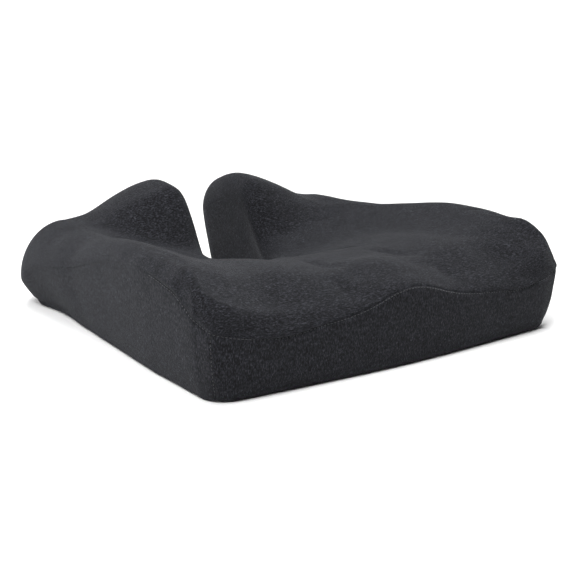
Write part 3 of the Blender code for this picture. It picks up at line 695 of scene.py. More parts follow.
def seam_relief(surface, side):
    """How deep the rim's points lie at the seams, and the small gathers beside the seams."""
    at, climb, seam = surface["at"], surface["climb"], surface["seam"]
    corner, mouth = surface["marks"][1], surface["marks"][3]
    from_seam = np.abs(climb - climb[seam])
    strong = SEAM_FAINT + (1.0 - SEAM_FAINT) * ease((corner + SEAM_FADE_END - at) / SEAM_FADE)
    dip = strong * seam_dip(from_seam)
    spots = np.column_stack([at * side, np.zeros_like(at), np.zeros_like(at)])
    ripple = waves(spots, 11, RIPPLE_LENGTH) * ease((at[-1] - at) / RIPPLE_ROOT)
    ripple = ripple * np.exp(-from_seam / PUCKER_WIDTH) * strong
    below = (np.arange(len(climb)) <= seam)[:, None]
    for mark, depth, pull in ((corner, 1.0, CORNER_PULL), (mouth, SEAM_FAINT, MOUTH_PULL)):
        away = np.abs(at - mark)
        dip = np.where(below, np.maximum(dip, seam_dip(away) * depth), dip)
        gathers = np.sin(climb / GATHER_LENGTH + mark) * np.exp(-away / PUCKER_WIDTH)
        ripple = ripple + np.where(below, gathers * pull, 0.0)
    return dip, ripple


def cover_surface(surface, puff, side):
    """Rim and crown points of one half of the cover, with its seams, gathers and slack."""
    rim_puff, crown_puff = puff
    climb = surface["climb"]
    above_seam = climb - climb[surface["seam"]]
    away = np.minimum(np.abs(surface["at"] - surface["marks"][1]) / CORNER_WIDTH, 1.0)
    reach = ease(climb / CORNER_CLIMB) * ease(1.0 - above_seam / CORNER_FADE)
    push = CORNER_PUSH * (1.0 - away) ** CORNER_POWER * reach
    corner_way = np.array([*surface["outward"][surface["corner"]], 0.0])
    rim = mirrored(surface["rim"], side) + rim_puff + mirrored(corner_way, side) * push[..., None]
    dip, ripple = seam_relief(surface, side)
    relief = (PUCKER * ripple - dip + slack(rim)) * ease(climb / RELIEF_CLIMB)
    rim = rim + mirrored(surface["rim_normals"], side) * relief[..., None]
    crown = mirrored(surface["crown"], side) + crown_puff
    crown = crown + mirrored(surface["crown_normals"], side) * slack(crown)[..., None]
    blend_edges(crown, rim[-1], surface)
    return rim, crown


def blend_edges(crown, loop, surface):
    """Puts the crown's outer points exactly on the rim's last row."""
    spans = surface["spans"]
    crown[0] = loop[: spans[1] + 1]
    crown[:, -1] = loop[spans[1] : spans[2] + 1]
    crown[-1] = loop[spans[2] : spans[3] + 1][::-1]
    notch = loop[spans[3] :][::-1]
    crown[-len(notch) :, 0] = notch


def rim_cloth(surface):
    """Cloth coordinates of the bands: along the outline, and up the band."""
    shape = surface["climb"].shape
    return np.stack([np.broadcast_to(surface["at"], shape), surface["climb"]], axis=-1)


def top_cloth(surface, side):
    """Cloth coordinates of the top panel: flat on the crown, unrolled over the edge."""
    rim, climb = surface["rim"], surface["climb"]
    beyond = (climb[-1] - climb)[..., None]
    flat = rim[-1][None, :, :2] + surface["outward"][None] * beyond
    crown = surface["crown"][..., :2]
    flip = np.array([1.0, side])
    return flat[..., ::-1] * flip, crown[..., ::-1] * flip


# ---------------------------------------------------------------- materials


class Nodes:
    """Short calls for building a node tree."""

    def __init__(self, mat):
        mat.use_nodes = True
        self.tree = mat.node_tree
        self.shader = self.tree.nodes["Principled BSDF"]

    def new(self, kind, **settings):
        node = self.tree.nodes.new(kind)
        for key, value in settings.items():
            setattr(node, key, value)
        return node

    def link(self, source, target):
        if isinstance(source, (int, float)):
            target.default_value = source
        else:
            self.tree.links.new(source, target)

    def math(self, operation, a, b=0.0, c=None):
        node = self.new("ShaderNodeMath", operation=operation)
        self.link(a, node.inputs[0])
        self.link(b, node.inputs[1])
        if c is not None:
            self.link(c, node.inputs[2])
        return node.outputs[0]

    def split(self, vector):
        node = self.new("ShaderNodeSeparateXYZ")
        self.link(vector, node.inputs[0])
        return node.outputs

    def uv(self):
        return self.split(self.new("ShaderNodeUVMap", uv_map="cloth").outputs[0])[:2]

    def place(self):
        return self.new("ShaderNodeTexCoord").outputs["Object"]

    def vector(self, x, y, z=0.0):
        node = self.new("ShaderNodeCombineXYZ")
        for value, socket in zip((x, y, z), node.inputs):
            self.link(value, socket)
        return node.outputs[0]

    def noise(self, vector, scale, detail=3.0, roughness=0.55):
        node = self.new("ShaderNodeTexNoise")
        self.link(vector, node.inputs["Vector"])
        node.inputs["Scale"].default_value = scale
        node.inputs["Detail"].default_value = detail
        node.inputs["Roughness"].default_value = roughness
        return node.outputs[0]

    def ramp(self, value, stops):
        node = self.new("ShaderNodeValToRGB")
        self.link(value, node.inputs[0])
        band = node.color_ramp
        while len(band.elements) < len(stops):
            band.elements.new(0.5)
        for element, (position, color) in zip(band.elements, stops):
            element.position = position
            element.color = (*color, 1.0)
        return node.outputs[0]

    def product(self, a, b):
        node = self.new("ShaderNodeMix", data_type="RGBA", blend_type="MULTIPLY")
        self.link(1.0, node.inputs["Factor"])
        self.link(a, node.inputs[6])
        self.link(b, node.inputs[7])
        return node.outputs[2]

    def bump(self, height, distance, strength=1.0, below=None):
        node = self.new("ShaderNodeBump")
        node.inputs["Strength"].default_value = strength
        node.inputs["Distance"].default_value = distance
        self.link(height, node.inputs["Height"])
        if below is not None:
            self.link(below, node.inputs["Normal"])
        return node.outputs[0]

    def set(self, **values):
        for key, value in values.items():
            socket = self.shader.inputs[key.replace("_", " ")]
            if isinstance(value, tuple) and len(value) == 3:
                value = (*value, 1.0)
            if isinstance(value, (int, float, tuple)):
                socket.default_value = value
            else:
                self.link(value, socket)


def greys(*stops):
    """Ramp stops of grey values, given as (position, value)."""
    return [(position, (value,) * 3) for position, value in stops]


def knit_material(name, climb):
    """Charcoal heather knit: ribs of small V stitches along v, with light and dark fibres and painted shade
    in the stitches' low places.
    """
    n = Nodes(bpy.data.materials.new(name))
    u, v = n.uv()

    def spots(across, along, third, detail, roughness):
        place = n.vector(n.math("MULTIPLY", u, across), n.math("MULTIPLY", v, along), third)
        return n.noise(place, 1.0, detail, roughness)

    across = n.math("MULTIPLY", u, 2.0 * math.pi / WALE)
    rib = n.math("ABSOLUTE", n.math("SINE", n.math("MULTIPLY", across, 0.5)))
    lean = n.math("ABSOLUTE", n.math("SINE", across))
    along = n.math("MULTIPLY", v, 2.0 * math.pi / COURSE)
    stitch = n.math("SINE", n.math("ADD", along, n.math("MULTIPLY", lean, 1.7)))
    height = n.math("MULTIPLY_ADD", stitch, 0.32, rib)
    rise = n.math("MULTIPLY", n.split(n.place())[2], climb)
    fibre = spots(1000.0, 400.0, rise, 4.0, 0.62)
    fleck = spots(680.0, 240.0, n.math("MULTIPLY_ADD", rise, 0.6, 7.3), 2.0, 0.5)
    cloud = spots(90.0, 60.0, 3.1, 3.0, 0.55)
    tone = n.ramp(fibre, [(0.30, KNIT_DARK), (0.50, KNIT_MID), (0.74, KNIT_LIGHT)])
    # Flecks and cloud vary the tone; the stitch height adds painted shade, darker where the stitches lie
    # low.
    for value, stops in (
        (fleck, greys((0.30, 0.42), (0.50, 0.95), (0.70, 1.75))),
        (cloud, greys((0.25, 0.86), (0.75, 1.14))),
        (height, greys((0.0, 0.72), (0.9, 1.06))),
    ):
        tone = n.product(tone, n.ramp(value, stops))
    fuzz = n.noise(n.place(), 2600.0, 3.0, 0.7)
    fine = n.bump(n.math("MULTIPLY_ADD", fuzz, 0.5, height), 0.00022, 0.75)
    rough = n.bump(n.math("ADD", fibre, fleck), 0.0005, 0.3, fine)
    n.set(Base_Color=tone, Roughness=0.92, Normal=rough)
    n.set(Sheen_Weight=0.08, Sheen_Roughness=0.45, Sheen_Tint=(0.55, 0.57, 0.62), Specular_IOR_Level=0.15)
    return bpy.data.materials[name]


def mottled(name, tones, scale, roughness, relief=None, detail=(3.0, 0.55), metallic=0.0, sheen=0.0):
    """One fine noise makes the tones, the roughness (least, spread) and the relief (depth, strength)."""
    n = Nodes(bpy.data.materials.new(name))
    marks = n.noise(n.place(), scale, *detail)
    least, spread = roughness
    n.set(Base_Color=n.ramp(marks, tones), Roughness=n.math("MULTIPLY_ADD", marks, spread, least))
    if relief is not None:
        n.set(Normal=n.bump(marks, *relief))
    n.set(Metallic=metallic, Sheen_Weight=sheen)
    return bpy.data.materials[name]


def thread_material(name, color):
    """Spun thread."""
    bright = tuple(c * 1.6 for c in color)
    return mottled(name, [(0.3, color), (0.75, bright)], 2200.0, (0.75, 0.0), (0.0001, 0.6), sheen=0.3)


def foam_material():
    """Moulded foam: a pale skin with fine pores."""
    n = Nodes(bpy.data.materials.new("foam"))
    pores = n.new("ShaderNodeTexVoronoi", feature="F1")
    n.link(n.place(), pores.inputs["Vector"])
    pores.inputs["Scale"].default_value = 900.0
    tone = n.ramp(n.noise(n.place(), 35.0, 4.0), [(0.3, (0.70, 0.64, 0.47)), (0.7, (0.80, 0.76, 0.62))])
    n.set(Base_Color=tone, Roughness=0.95, Normal=n.bump(pores.outputs["Distance"], 0.0004, 0.6))
    return bpy.data.materials["foam"]


def weave_material(name, dark, light, pitch, roughness):
    """Plain weave of the pitch in metres, in the plane of the base."""
    n = Nodes(bpy.data.materials.new(name))
    x, y = [n.math("SINE", n.math("MULTIPLY", way, 2.0 * math.pi / pitch)) for way in n.split(n.place())[:2]]
    weave = n.math("MULTIPLY", x, y)
    noise = n.noise(n.place(), 900.0, 3.0)
    tone = n.ramp(n.math("MULTIPLY_ADD", weave, 0.3, noise), [(0.2, dark), (0.85, light)])
    relief = n.bump(n.math("MULTIPLY_ADD", noise, 0.8, weave), 0.00018, 0.8)
    n.set(Base_Color=tone, Roughness=roughness, Normal=relief, Sheen_Weight=0.05)
    return bpy.data.materials[name]


def build_materials():
    """All materials of the cushion by the names that the pieces use."""
    metal_tones = [(0.35, (0.075, 0.075, 0.082)), (0.75, (0.16, 0.16, 0.17))]
    coil_tones = [(0.3, (0.016, 0.016, 0.018)), (0.7, (0.034, 0.034, 0.037))]
    silicone_tones = [(0.3, (0.024, 0.024, 0.027)), (0.7, (0.045, 0.045, 0.049))]
    return {
        "knit_top": knit_material("knit_top", TOP_CLIMB),
        "knit_band": knit_material("knit_band", 0.0),
        "foam": foam_material(),
        "jersey": weave_material("jersey", (0.50, 0.50, 0.48), (0.70, 0.70, 0.68), 0.0011, 0.9),
        "base": weave_material("base_fabric", (0.003, 0.003, 0.0036), (0.030, 0.031, 0.036), 0.0018, 0.95),
        "tape": weave_material("tape", (0.004, 0.004, 0.0045), (0.024, 0.024, 0.027), 0.0009, 0.85),
        "label": weave_material("label", (0.40, 0.40, 0.385), (0.62, 0.62, 0.60), 0.0005, 0.6),
        "metal": mottled(
            "zip_metal", metal_tones, 1400.0, (0.22, 0.25), (0.00006, 0.5), detail=(5.0, 0.65), metallic=1.0
        ),
        "coil": mottled("coil", coil_tones, 700.0, (0.34, 0.2)),
        "silicone": mottled("grip_silicone", silicone_tones, 500.0, (0.35, 0.2), (0.0001, 0.4)),
        "seam_thread": thread_material("seam_thread", (0.012, 0.0125, 0.0142)),
        "thread": thread_material("thread", (0.030, 0.031, 0.034)),
    }


# ---------------------------------------------------------------- stage


def add_light(name, place, target, size, power):
    """A round soft light at the place, pointing at the target."""
    data = bpy.data.lights.new(name, "AREA")
    data.shape = "DISK"
    data.size = size
    data.energy = power
    obj = bpy.data.objects.new(name, data)
    obj.location = place
    obj.rotation_mode = "QUATERNION"
    obj.rotation_quaternion = (Vector(target) - Vector(place)).to_track_quat("-Z", "Y")
    bpy.context.scene.collection.objects.link(obj)


def build_stage():
    """A pale floor that curves up behind the cushion, soft lights and the camera."""
    build_floor()
    build_world()
    for light in LIGHTS:
        add_light(*light)
    add_camera()
    bpy.context.scene.view_settings.view_transform = "Standard"


def build_world():
    """A white surround as the camera sees it, which lights the cushion only a little."""
    world = bpy.data.worlds.new("studio")
    bpy.context.scene.world = world
    world.use_nodes = True
    tree = world.node_tree
    rays = tree.nodes.new("ShaderNodeLightPath")
    strength = tree.nodes.new("ShaderNodeMath")
    strength.operation = "MAXIMUM"
    strength.inputs[1].default_value = WORLD_LIGHT
    tree.links.new(rays.outputs["Is Camera Ray"], strength.inputs[0])
    background = tree.nodes["Background"]
    background.inputs["Color"].default_value = (1.0, 1.0, 1.0, 1.0)
    tree.links.new(strength.outputs[0], background.inputs["Strength"])


def floor_material():
    """Pale and matt near the cushion, glowing white further off."""
    n = Nodes(bpy.data.materials.new("floor"))
    x, y, _ = n.split(n.place())
    away = n.math("SQRT", n.math("MULTIPLY_ADD", x, x, n.math("MULTIPLY", y, y)))
    share = n.math("DIVIDE", n.math("SUBTRACT", away, GLOW_FROM), GLOW_TO - GLOW_FROM)
    n.set(Base_Color=(0.93, 0.93, 0.93), Roughness=0.9, Specular_IOR_Level=0.1)
    n.set(Emission_Color=n.ramp(share, greys((0.0, 0.0), (1.0, 1.0))), Emission_Strength=1.0)
    return bpy.data.materials["floor"]


def build_floor():
    """One sheet, level under the cushion and rising in an arc far behind it."""
    profile = [(FLOOR_START, 0.0), (FLOOR_LENGTH, 0.0)]
    for k in range(1, BACKDROP_STEPS + 1):
        angle = math.pi / 2.0 * k / BACKDROP_STEPS
        up = BACKDROP_RADIUS * (1.0 - math.cos(angle))
        profile.append((FLOOR_LENGTH + BACKDROP_RADIUS * math.sin(angle), up))
    profile.append((FLOOR_LENGTH + BACKDROP_RADIUS, BACKDROP_HEIGHT))
    half = FLOOR_WIDTH / 2.0
    bm = bmesh.new()
    rows = [[bm.verts.new((x, y, z)) for x in (-half, half)] for y, z in profile]
    for a, b in zip(rows[:-1], rows[1:]):
        bm.faces.new([a[0], a[1], b[1], b[0]])
    floor = finished_object("floor", bm)
    floor.location.z = -FLOOR_GAP
    floor.rotation_euler.z = -math.radians(CAMERA_AZIMUTH)
    give(floor, floor_material())


def add_camera():
    """The camera looks at its target from the set distance, azimuth, elevation and roll."""
    azimuth, elevation = math.radians(CAMERA_AZIMUTH), math.radians(CAMERA_ELEVATION)
    level = math.cos(elevation)
    look = Vector((math.sin(azimuth) * level, math.cos(azimuth) * level, -math.sin(elevation)))
    data = bpy.data.cameras.new("camera")
    data.sensor_width = 36.0
    data.lens = CAMERA_LENS
    camera = bpy.data.objects.new("camera", data)
    camera.location = Vector(placed(CAMERA_TARGET)) - look * CAMERA_DISTANCE
    camera.rotation_mode = "QUATERNION"
    turn = Matrix.Rotation(math.radians(CAMERA_ROLL), 4, look).to_quaternion()
    camera.rotation_quaternion = turn @ look.to_track_quat("-Z", "Y")
    bpy.context.scene.collection.objects.link(camera)
    bpy.context.scene.camera = camera


# ---------------------------------------------------------------- the cushion


def build_cover(surface, puffs, mats):
    """The five cut pieces of the knitted cover. Returns rim and crown points of both halves."""
    seam, corner, mouth = surface["seam"], surface["corner"], surface["mouth"]
    halves = {name: cover_surface(surface, puffs[name], side) for name, side in HALVES.items()}
    top = []
    for name, side in HALVES.items():
        rim, crown = halves[name]
        roll_cloth, crown_cloth = top_cloth(surface, side)
        top += [(crown, crown_cloth), (rim[seam:], roll_cloth[seam:])]
    pieces = [("top_panel", sheet("cover_top", top, (0.0, 0.0, 1.0)), mats["knit_top"])]
    cloth = rim_cloth(surface)
    for node, first, last, names in (
        ("front_band", 0, corner, ("right", "left")),
        ("notch_band", mouth, len(surface["at"]) - 1, ("right", "left")),
        ("right_side_band", corner, mouth, ("right",)),
        ("left_side_band", corner, mouth, ("left",)),
    ):
        part = (slice(0, seam + 1), slice(first, last + 1))
        grids = [(halves[name][0][part], cloth[part] * (HALVES[name], 1.0)) for name in names]
        facing = mirrored(surface["rim_normals"][seam // 2, first + 1], HALVES[names[0]])
        pieces.append((node, sheet("cover_" + node, grids, facing), mats["knit_band"]))
    for node, obj, mat in pieces:
        thicken(obj, COVER)
        finish_piece(obj, mat, "knit", "cushion", node)
    return halves


def seam_stitches(halves, surface, mats):
    """Short threads just under the long seam and beside the two corner seams."""
    seam, corner = surface["seam"], surface["corner"]
    rows = {
        "front": (seam - 1, slice(0, corner + 1)),
        "side": (seam - 1, slice(corner, corner + SIDE_STITCH_COLUMNS)),
        "corner": (slice(2 * FINE, seam), corner + 1),
    }
    for name, side in HALVES.items():
        normals = mirrored(surface["rim_normals"], side)
        for part, row in rows.items():
            label = "seam_stitches_%s_%s" % (part, name)
            obj = thread_row(label, halves[name][0][row], normals[row], STITCH_RADIUS * 0.4)
            finish_piece(obj, mats["seam_thread"], "knit", "cushion")


def frustum(name, half_length, half_width, low_z, high_z):
    """A cutter over the zip whose four sides lean in with the recess's slope."""
    lean = RECESS_SLOPE / FUNNEL_TOP
    bm = bmesh.new()
    bmesh.ops.create_cube(bm, size=2.0)
    for vertex in bm.verts:
        z = low_z if vertex.co.z < 0.0 else high_z
        x = vertex.co.x * (half_length - lean * z)
        y = vertex.co.y * (half_width - lean * z)
        vertex.co = placed((x, ZIP_Y + y, z))
    obj = finished_object(name, bm, False)
    obj.hide_render = True
    return obj


def straight_up(normals):
    """Upward vectors that clear a sloping surface by as much as its unit normals do."""
    up = np.zeros_like(normals)
    up[..., 2] = 1.0 / np.maximum(normals[..., 2], FLATTEST_NORMAL)
    return up


def inner_layer(halves, surface, depth):
    """Crown and rim grids at the depth under the cover, for both halves."""
    grids = []
    rows = np.arange(len(surface["rim"])) - surface["seam"]
    share = (np.clip(rows / rows[-1], 0.0, 1.0) ** 2)[:, None, None]
    rim_way = surface["rim_normals"] * (1.0 - share) + straight_up(surface["rim_normals"]) * share
    crown_way = straight_up(surface["crown_normals"])
    for name, side in HALVES.items():
        rim, crown = halves[name]
        rim = rim - mirrored(rim_way, side) * depth
        crown = crown - crown_way * depth
        blend_edges(crown, rim[-1], surface)
        grids.append((crown, rim))
    return grids


def without_cloth(grid):
    """The grid with blank cloth coordinates."""
    return grid, np.zeros(grid.shape[:2] + (2,))


def build_inside(halves, surface, mats):
    """The foam core and the liner's top, just under the cover."""
    grids = [without_cloth(grid) for pair in inner_layer(halves, surface, LINER_DEPTH) for grid in pair]
    liner = sheet("inner_liner", grids, (0.0, 0.0, 1.0))
    thicken(liner, LINER)
    finish_piece(liner, mats["jersey"], "jersey", "cushion", "liner_top")
    grids = []
    for (crown, rim), side in zip(inner_layer(halves, surface, FOAM_DEPTH), HALVES.values()):
        floor = lifted(crown_patch(mirrored(rim[0], side)[:, :2], FINE), FOAM_DEPTH)
        grids += [without_cloth(grid) for grid in (crown, rim, mirrored(floor, side))]
    foam = sheet("foam_block", grids, (0.0, 0.0, 1.0), weld=0.0002)
    size = (RECESS_HALF_LENGTH + FOAM_RECESS_MARGIN, RECESS_HALF_WIDTH + FOAM_RECESS_MARGIN)
    cutter = frustum("foam_recess", *size, -1.0, FOAM_RECESS_TOP)
    cut = foam.modifiers.new("recess", "BOOLEAN")
    cut.object = cutter
    cut.solver = "EXACT"
    apply_modifiers(foam)
    bpy.data.objects.remove(cutter, do_unlink=True)
    finish_piece(foam, mats["foam"], "foam", "cushion", "foam_core")


def apply_modifiers(obj):
    """The object's mesh becomes what its modifiers make of it."""
    bpy.context.view_layer.update()
    graph = bpy.context.evaluated_depsgraph_get()
    mesh = bpy.data.meshes.new_from_object(obj.evaluated_get(graph))
    obj.modifiers.clear()
    obj.data = mesh


def finish_piece(obj, mat, slot, body, *nodes):
    """Material, body and the CAD nodes the piece stands for; the slot is not used."""
    give(obj, mat)
    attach(obj, body)
    if nodes:
        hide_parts(*nodes)


# ---------------------------------------------------------------- underside


def foot_loop(surface, inset):
    """Right half of the foot's outline, front centre to the middle of the notch, drawn in."""
    return surface["rim"][0, :, :2] - surface["outward"] * inset


def base_sheet(surface, toward):
    """Outline of the panel on one side of the zip, from end to end, and its edge at the zip opening."""
    loop = foot_loop(surface, BASE_INSET)
    whole = np.concatenate([loop, loop[-2:0:-1] * (-1.0, 1.0)])
    keep = (whole[:, 1] - ZIP_Y) * toward > 0.0
    first = int(np.where(keep & ~np.roll(keep, 1))[0][0])
    run = np.roll(whole, -first, axis=0)[np.roll(keep, -first)]
    outer = np.concatenate([[(run[0][0], ZIP_Y)], run, [(run[-1][0], ZIP_Y)]])
    side = math.copysign(1.0, run[-1][0])
    width = RECESS_HALF_WIDTH * toward
    opening = np.array([(side, 0.0), (side, width), (-side, width), (-side, 0.0)])
    opening = opening * (RECESS_HALF_LENGTH, 1.0) + (0.0, ZIP_Y)
    return outer, opening


def flat_panel(outer, opening):
    """Triangles between the panel's outline and its zip opening, and the vertices of the opening."""
    loop = np.concatenate([outer, opening])
    spots = [Vector(p) for p in loop]
    ring = list(range(len(spots)))
    edges = list(zip(ring, ring[1:] + ring[:1]))
    points, _, triangles, sources, _, _ = delaunay_2d_cdt(spots, edges, [], 1, 0.001)
    bm = bmesh.new()
    verts = [bm.verts.new(placed((p.x, p.y, BASE_LOW))) for p in points]
    for face in triangles:
        bm.faces.new([verts[k] for k in face])
    first = len(outer)
    named = {source: vertex for vertex, group in zip(verts, sources) for source in group}
    return bm, [named[first + k] for k in range(len(opening))]


def build_base(surface, mats):
    """Two non-slip panels with the fabric turned up around the zip, and their silicone dots."""
    for name, toward in (("front", -1.0), ("rear", 1.0)):
        outer, opening = base_sheet(surface, toward)
        bm, edge = flat_panel(outer, opening)
        top = []
        for x, y in opening:
            aside = math.copysign(RECESS_SLOPE, -x)
            inward = 0.0 if y == ZIP_Y else -RECESS_SLOPE * toward
            top.append(bm.verts.new(placed((x + aside, y + inward, FUNNEL_TOP))))
        for k in range(len(opening) - 1):
            bm.faces.new([edge[k], edge[k + 1], top[k + 1], top[k]])
        bmesh.ops.recalc_face_normals(bm, faces=bm.faces)
        bm.faces.ensure_lookup_table()
        if bm.faces[0].normal.z > 0.0:
            bmesh.ops.reverse_faces(bm, faces=bm.faces)
        panel = finished_object("base_fabric_" + name, bm, False)
        thicken(panel, BASE_FABRIC)
        bevel = panel.modifiers.new("fold", "BEVEL")
        bevel.width = FOLD_RADIUS * MM
        bevel.segments = 3
        bevel.limit_method = "ANGLE"
        finish_piece(panel, mats["base"], "base_fabric", "cushion", "base_panel_" + name)
        dots = grip_dots("grip_dots_" + name, outer)
        finish_piece(dots, mats["silicone"], "grip_silicone", "cushion")
        line = topstitch("zip_topstitch_" + name, toward)
        finish_piece(line, mats["thread"], "base_fabric", "cushion")


def inside_loop(points, loop):
    """Which points lie inside the closed loop."""
    x, y = points[:, 0][:, None], points[:, 1][:, None]
    x0, y0 = loop[:, 0][None], loop[:, 1][None]
    x1, y1 = np.roll(loop[:, 0], -1)[None], np.roll(loop[:, 1], -1)[None]
    crosses = (y0 > y) != (y1 > y)
    at = x0 + (y - y0) / np.where(y1 == y0, 1e-9, y1 - y0) * (x1 - x0)
    return (crosses & (x < at)).sum(axis=1) % 2 == 1


def grip_dots(name, outer):
    """Small silicone domes on a staggered grid, clear of the panel's edge and of the zip."""
    rows, cols = np.mgrid[-60:60, -30:31]
    x = (cols + 0.5 * (rows % 2)) * DOT_PITCH
    y = ZIP_Y + (rows + 0.5) * DOT_PITCH * 0.866
    spots = np.column_stack([x.ravel(), y.ravel()])
    spots = spots[inside_loop(spots, outer)]
    near = np.array([np.min(np.linalg.norm(outer - p, axis=1)) for p in spots])
    from_zip = np.abs(spots - (0.0, ZIP_Y))
    by_zip = np.all(from_zip < (RECESS_HALF_LENGTH + DOT_ZIP_GAP, RECESS_HALF_WIDTH + DOT_ZIP_GAP), axis=1)
    spots = spots[(near > DOT_EDGE) & ~by_zip & (from_zip[:, 1] >= DOT_SEAM_GAP)]
    angle = 2.0 * math.pi * np.arange(DOT_SIDES) / DOT_SIDES
    circle = np.column_stack([np.cos(angle), np.sin(angle)]) * DOT_RADIUS
    verts = []
    faces = []
    for spot in spots:
        base = len(verts)
        for share, z in DOT_RINGS:
            verts += [(*place, z) for place in spot + circle * share]
        verts.append((*spot, 0.0))
        faces += ring_faces(base, len(DOT_RINGS), DOT_SIDES)
        faces.append(tuple(range(base, base + DOT_SIDES)))
        last = base + (len(DOT_RINGS) - 1) * DOT_SIDES
        faces += [(last + k, len(verts) - 1, last + (k + 1) % DOT_SIDES) for k in range(DOT_SIDES)]
    return raw_object(name, verts, faces)


def ring_faces(first, rings, sides):
    """Quads between rings of vertices that follow one another from the first vertex on."""
    faces = []
    for ring in range(rings - 1):
        base = first + ring * sides
        for k in range(sides):
            a, b = base + k, base + (k + 1) % sides
            faces.append((a, a + sides, b + sides, b))
    return faces


def tube_faces(first, rings, sides):
    """The same, closed at both ends."""
    last = first + (rings - 1) * sides
    return ring_faces(first, rings, sides) + [tuple(range(end, end + sides)) for end in (first, last)]


def raw_object(name, verts, faces):
    """An object of the points, in design millimetres, and faces, with its normals made outward."""
    mesh = bpy.data.meshes.new(name)
    mesh.from_pydata([tuple(p) for p in placed(np.array(verts))], [], faces)
    bm = bmesh.new()
    bm.from_mesh(mesh)
    bpy.data.meshes.remove(mesh)
    bmesh.ops.recalc_face_normals(bm, faces=bm.faces)
    return finished_object(name, bm)


def topstitch(name, toward):
    """Short threads around one side of the zip opening, on the underside."""
    reach, width = RECESS_HALF_LENGTH + TOPSTITCH_GAP, (RECESS_HALF_WIDTH + TOPSTITCH_GAP) * toward
    start = TOPSTITCH_START * toward
    corners = [(reach, start), (reach, width), (-reach, width), (-reach, start)]
    points = np.array([(x, ZIP_Y + y, BASE_LOW - TOPSTITCH_SINK) for x, y in corners])
    return thread_row(name, points, np.tile((0.0, 0.0, -1.0), (len(points), 1)), 0.0)


def thread_row(name, points, normals, sink):
    """Short threads at an even pitch along the polyline, half sunk into the surface."""
    steps = np.linalg.norm(np.diff(points, axis=0), axis=1)
    length = np.concatenate([[0.0], np.cumsum(steps)])

    def along(values, at):
        return np.array([np.interp(at, length, values[:, k]) for k in range(3)])

    angle = 2.0 * math.pi * np.arange(STITCH_SIDES)[:, None] / STITCH_SIDES
    verts = []
    faces = []
    for k in range(int(length[-1] / STITCH_PITCH)):
        middle = (k + 0.5) * STITCH_PITCH
        ahead = unit(along(points, middle + 1.0) - along(points, middle - 1.0))
        aside = unit(np.cross(along(normals, middle), ahead))
        up = np.cross(ahead, aside)
        circle = (aside * np.cos(angle) + up * np.sin(angle)) * STITCH_RADIUS
        faces += tube_faces(len(verts), len(STITCH_SHAPE), STITCH_SIDES)
        for share, thick, rise in STITCH_SHAPE:
            lift = up * (rise * STITCH_RADIUS - sink)
            verts += list(along(points, middle) + ahead * share * STITCH_LENGTH + lift + circle * thick)
    return raw_object(name, verts, faces)


# ---------------------------------------------------------------- zip


def coil(name, toward):
    """One row of the zip's coil: a flattened spiral of nylon."""
    turns = int(2.0 * ZIP_HALF / COIL_PITCH) - 1
    t = np.arange(turns * COIL_TURN_STEPS + 1) / COIL_TURN_STEPS
    phase = 2.0 * math.pi * t
    x = -ZIP_HALF + COIL_PITCH * (t + 0.5 + 0.25 * toward)
    y = ZIP_Y + toward * (COIL_MIDDLE - COIL_REACH * np.cos(phase))
    z = COIL_Z + COIL_RISE * np.sin(phase)
    path = np.column_stack([x, y, z])
    ahead = unit(np.gradient(path, axis=0))
    aside = unit(np.cross(ahead, (1.0, 0.0, 0.0)))
    up = np.cross(aside, ahead)
    angle = 2.0 * math.pi * np.arange(COIL_SIDES)[:, None] / COIL_SIDES
    ring = aside[:, None] * np.cos(angle) + up[:, None] * np.sin(angle)
    verts = (path[:, None] + ring * COIL_WIRE).reshape(-1, 3)
    return raw_object(name, verts, tube_faces(0, len(path), COIL_SIDES))


def flat_shape(name, loops, low_z, thickness, edge):
    """A flat plate of the outline, less the holes, with rounded edges. Loops are (x, y) in millimetres."""
    curve = bpy.data.curves.new(name, "CURVE")
    curve.dimensions = "2D"
    curve.fill_mode = "BOTH"
    curve.extrude = (thickness / 2.0 - edge) * MM
    curve.bevel_depth = edge * MM
    curve.bevel_resolution = 2
    curve.offset = -edge * MM
    for loop in loops:
        spline = curve.splines.new("POLY")
        spline.points.add(len(loop) - 1)
        for point, (x, y) in zip(spline.points, loop):
            place = placed((x, y, 0.0))
            point.co = (place[0], place[1], 0.0, 1.0)
        spline.use_cyclic_u = True
    flat = bpy.data.objects.new(name, curve)
    bpy.context.scene.collection.objects.link(flat)
    bpy.context.view_layer.update()
    graph = bpy.context.evaluated_depsgraph_get()
    bm = bmesh.new()
    bm.from_mesh(flat.evaluated_get(graph).to_mesh())
    bmesh.ops.remove_doubles(bm, verts=bm.verts, dist=0.000002)
    bmesh.ops.translate(bm, verts=bm.verts, vec=(0.0, 0.0, (low_z + thickness / 2.0) * MM))
    bpy.data.objects.remove(flat, do_unlink=True)
    return bm


def rounded_loop(corners, steps=6):
    """Closed outline through (x, y, radius) corners."""
    points = []
    count = len(corners)
    for k, (x, y, radius) in enumerate(corners):
        here = np.array([x, y])
        back = unit(np.array(corners[k - 1][:2]) - here)
        ahead = unit(np.array(corners[(k + 1) % count][:2]) - here)
        half_angle = math.acos(float(np.clip(back @ ahead, -1.0, 1.0))) / 2.0
        reach = radius / math.tan(half_angle)
        for t in np.linspace(0.0, 1.0, steps + 1):
            a, b = here + back * reach * (1.0 - t), here + ahead * reach * t
            points.append(a + (b - a) * t)
    return points


def joined(name, parts):
    """One object of several bmesh bodies."""
    bm = bmesh.new()
    for part in parts:
        mesh = bpy.data.meshes.new(name)
        part.to_mesh(mesh)
        part.free()
        bm.from_mesh(mesh)
        bpy.data.meshes.remove(mesh)
    bmesh.ops.recalc_face_normals(bm, faces=bm.faces)
    obj = finished_object(name, bm)
    obj.data.set_sharp_from_angle(angle=math.radians(50.0))
    return obj


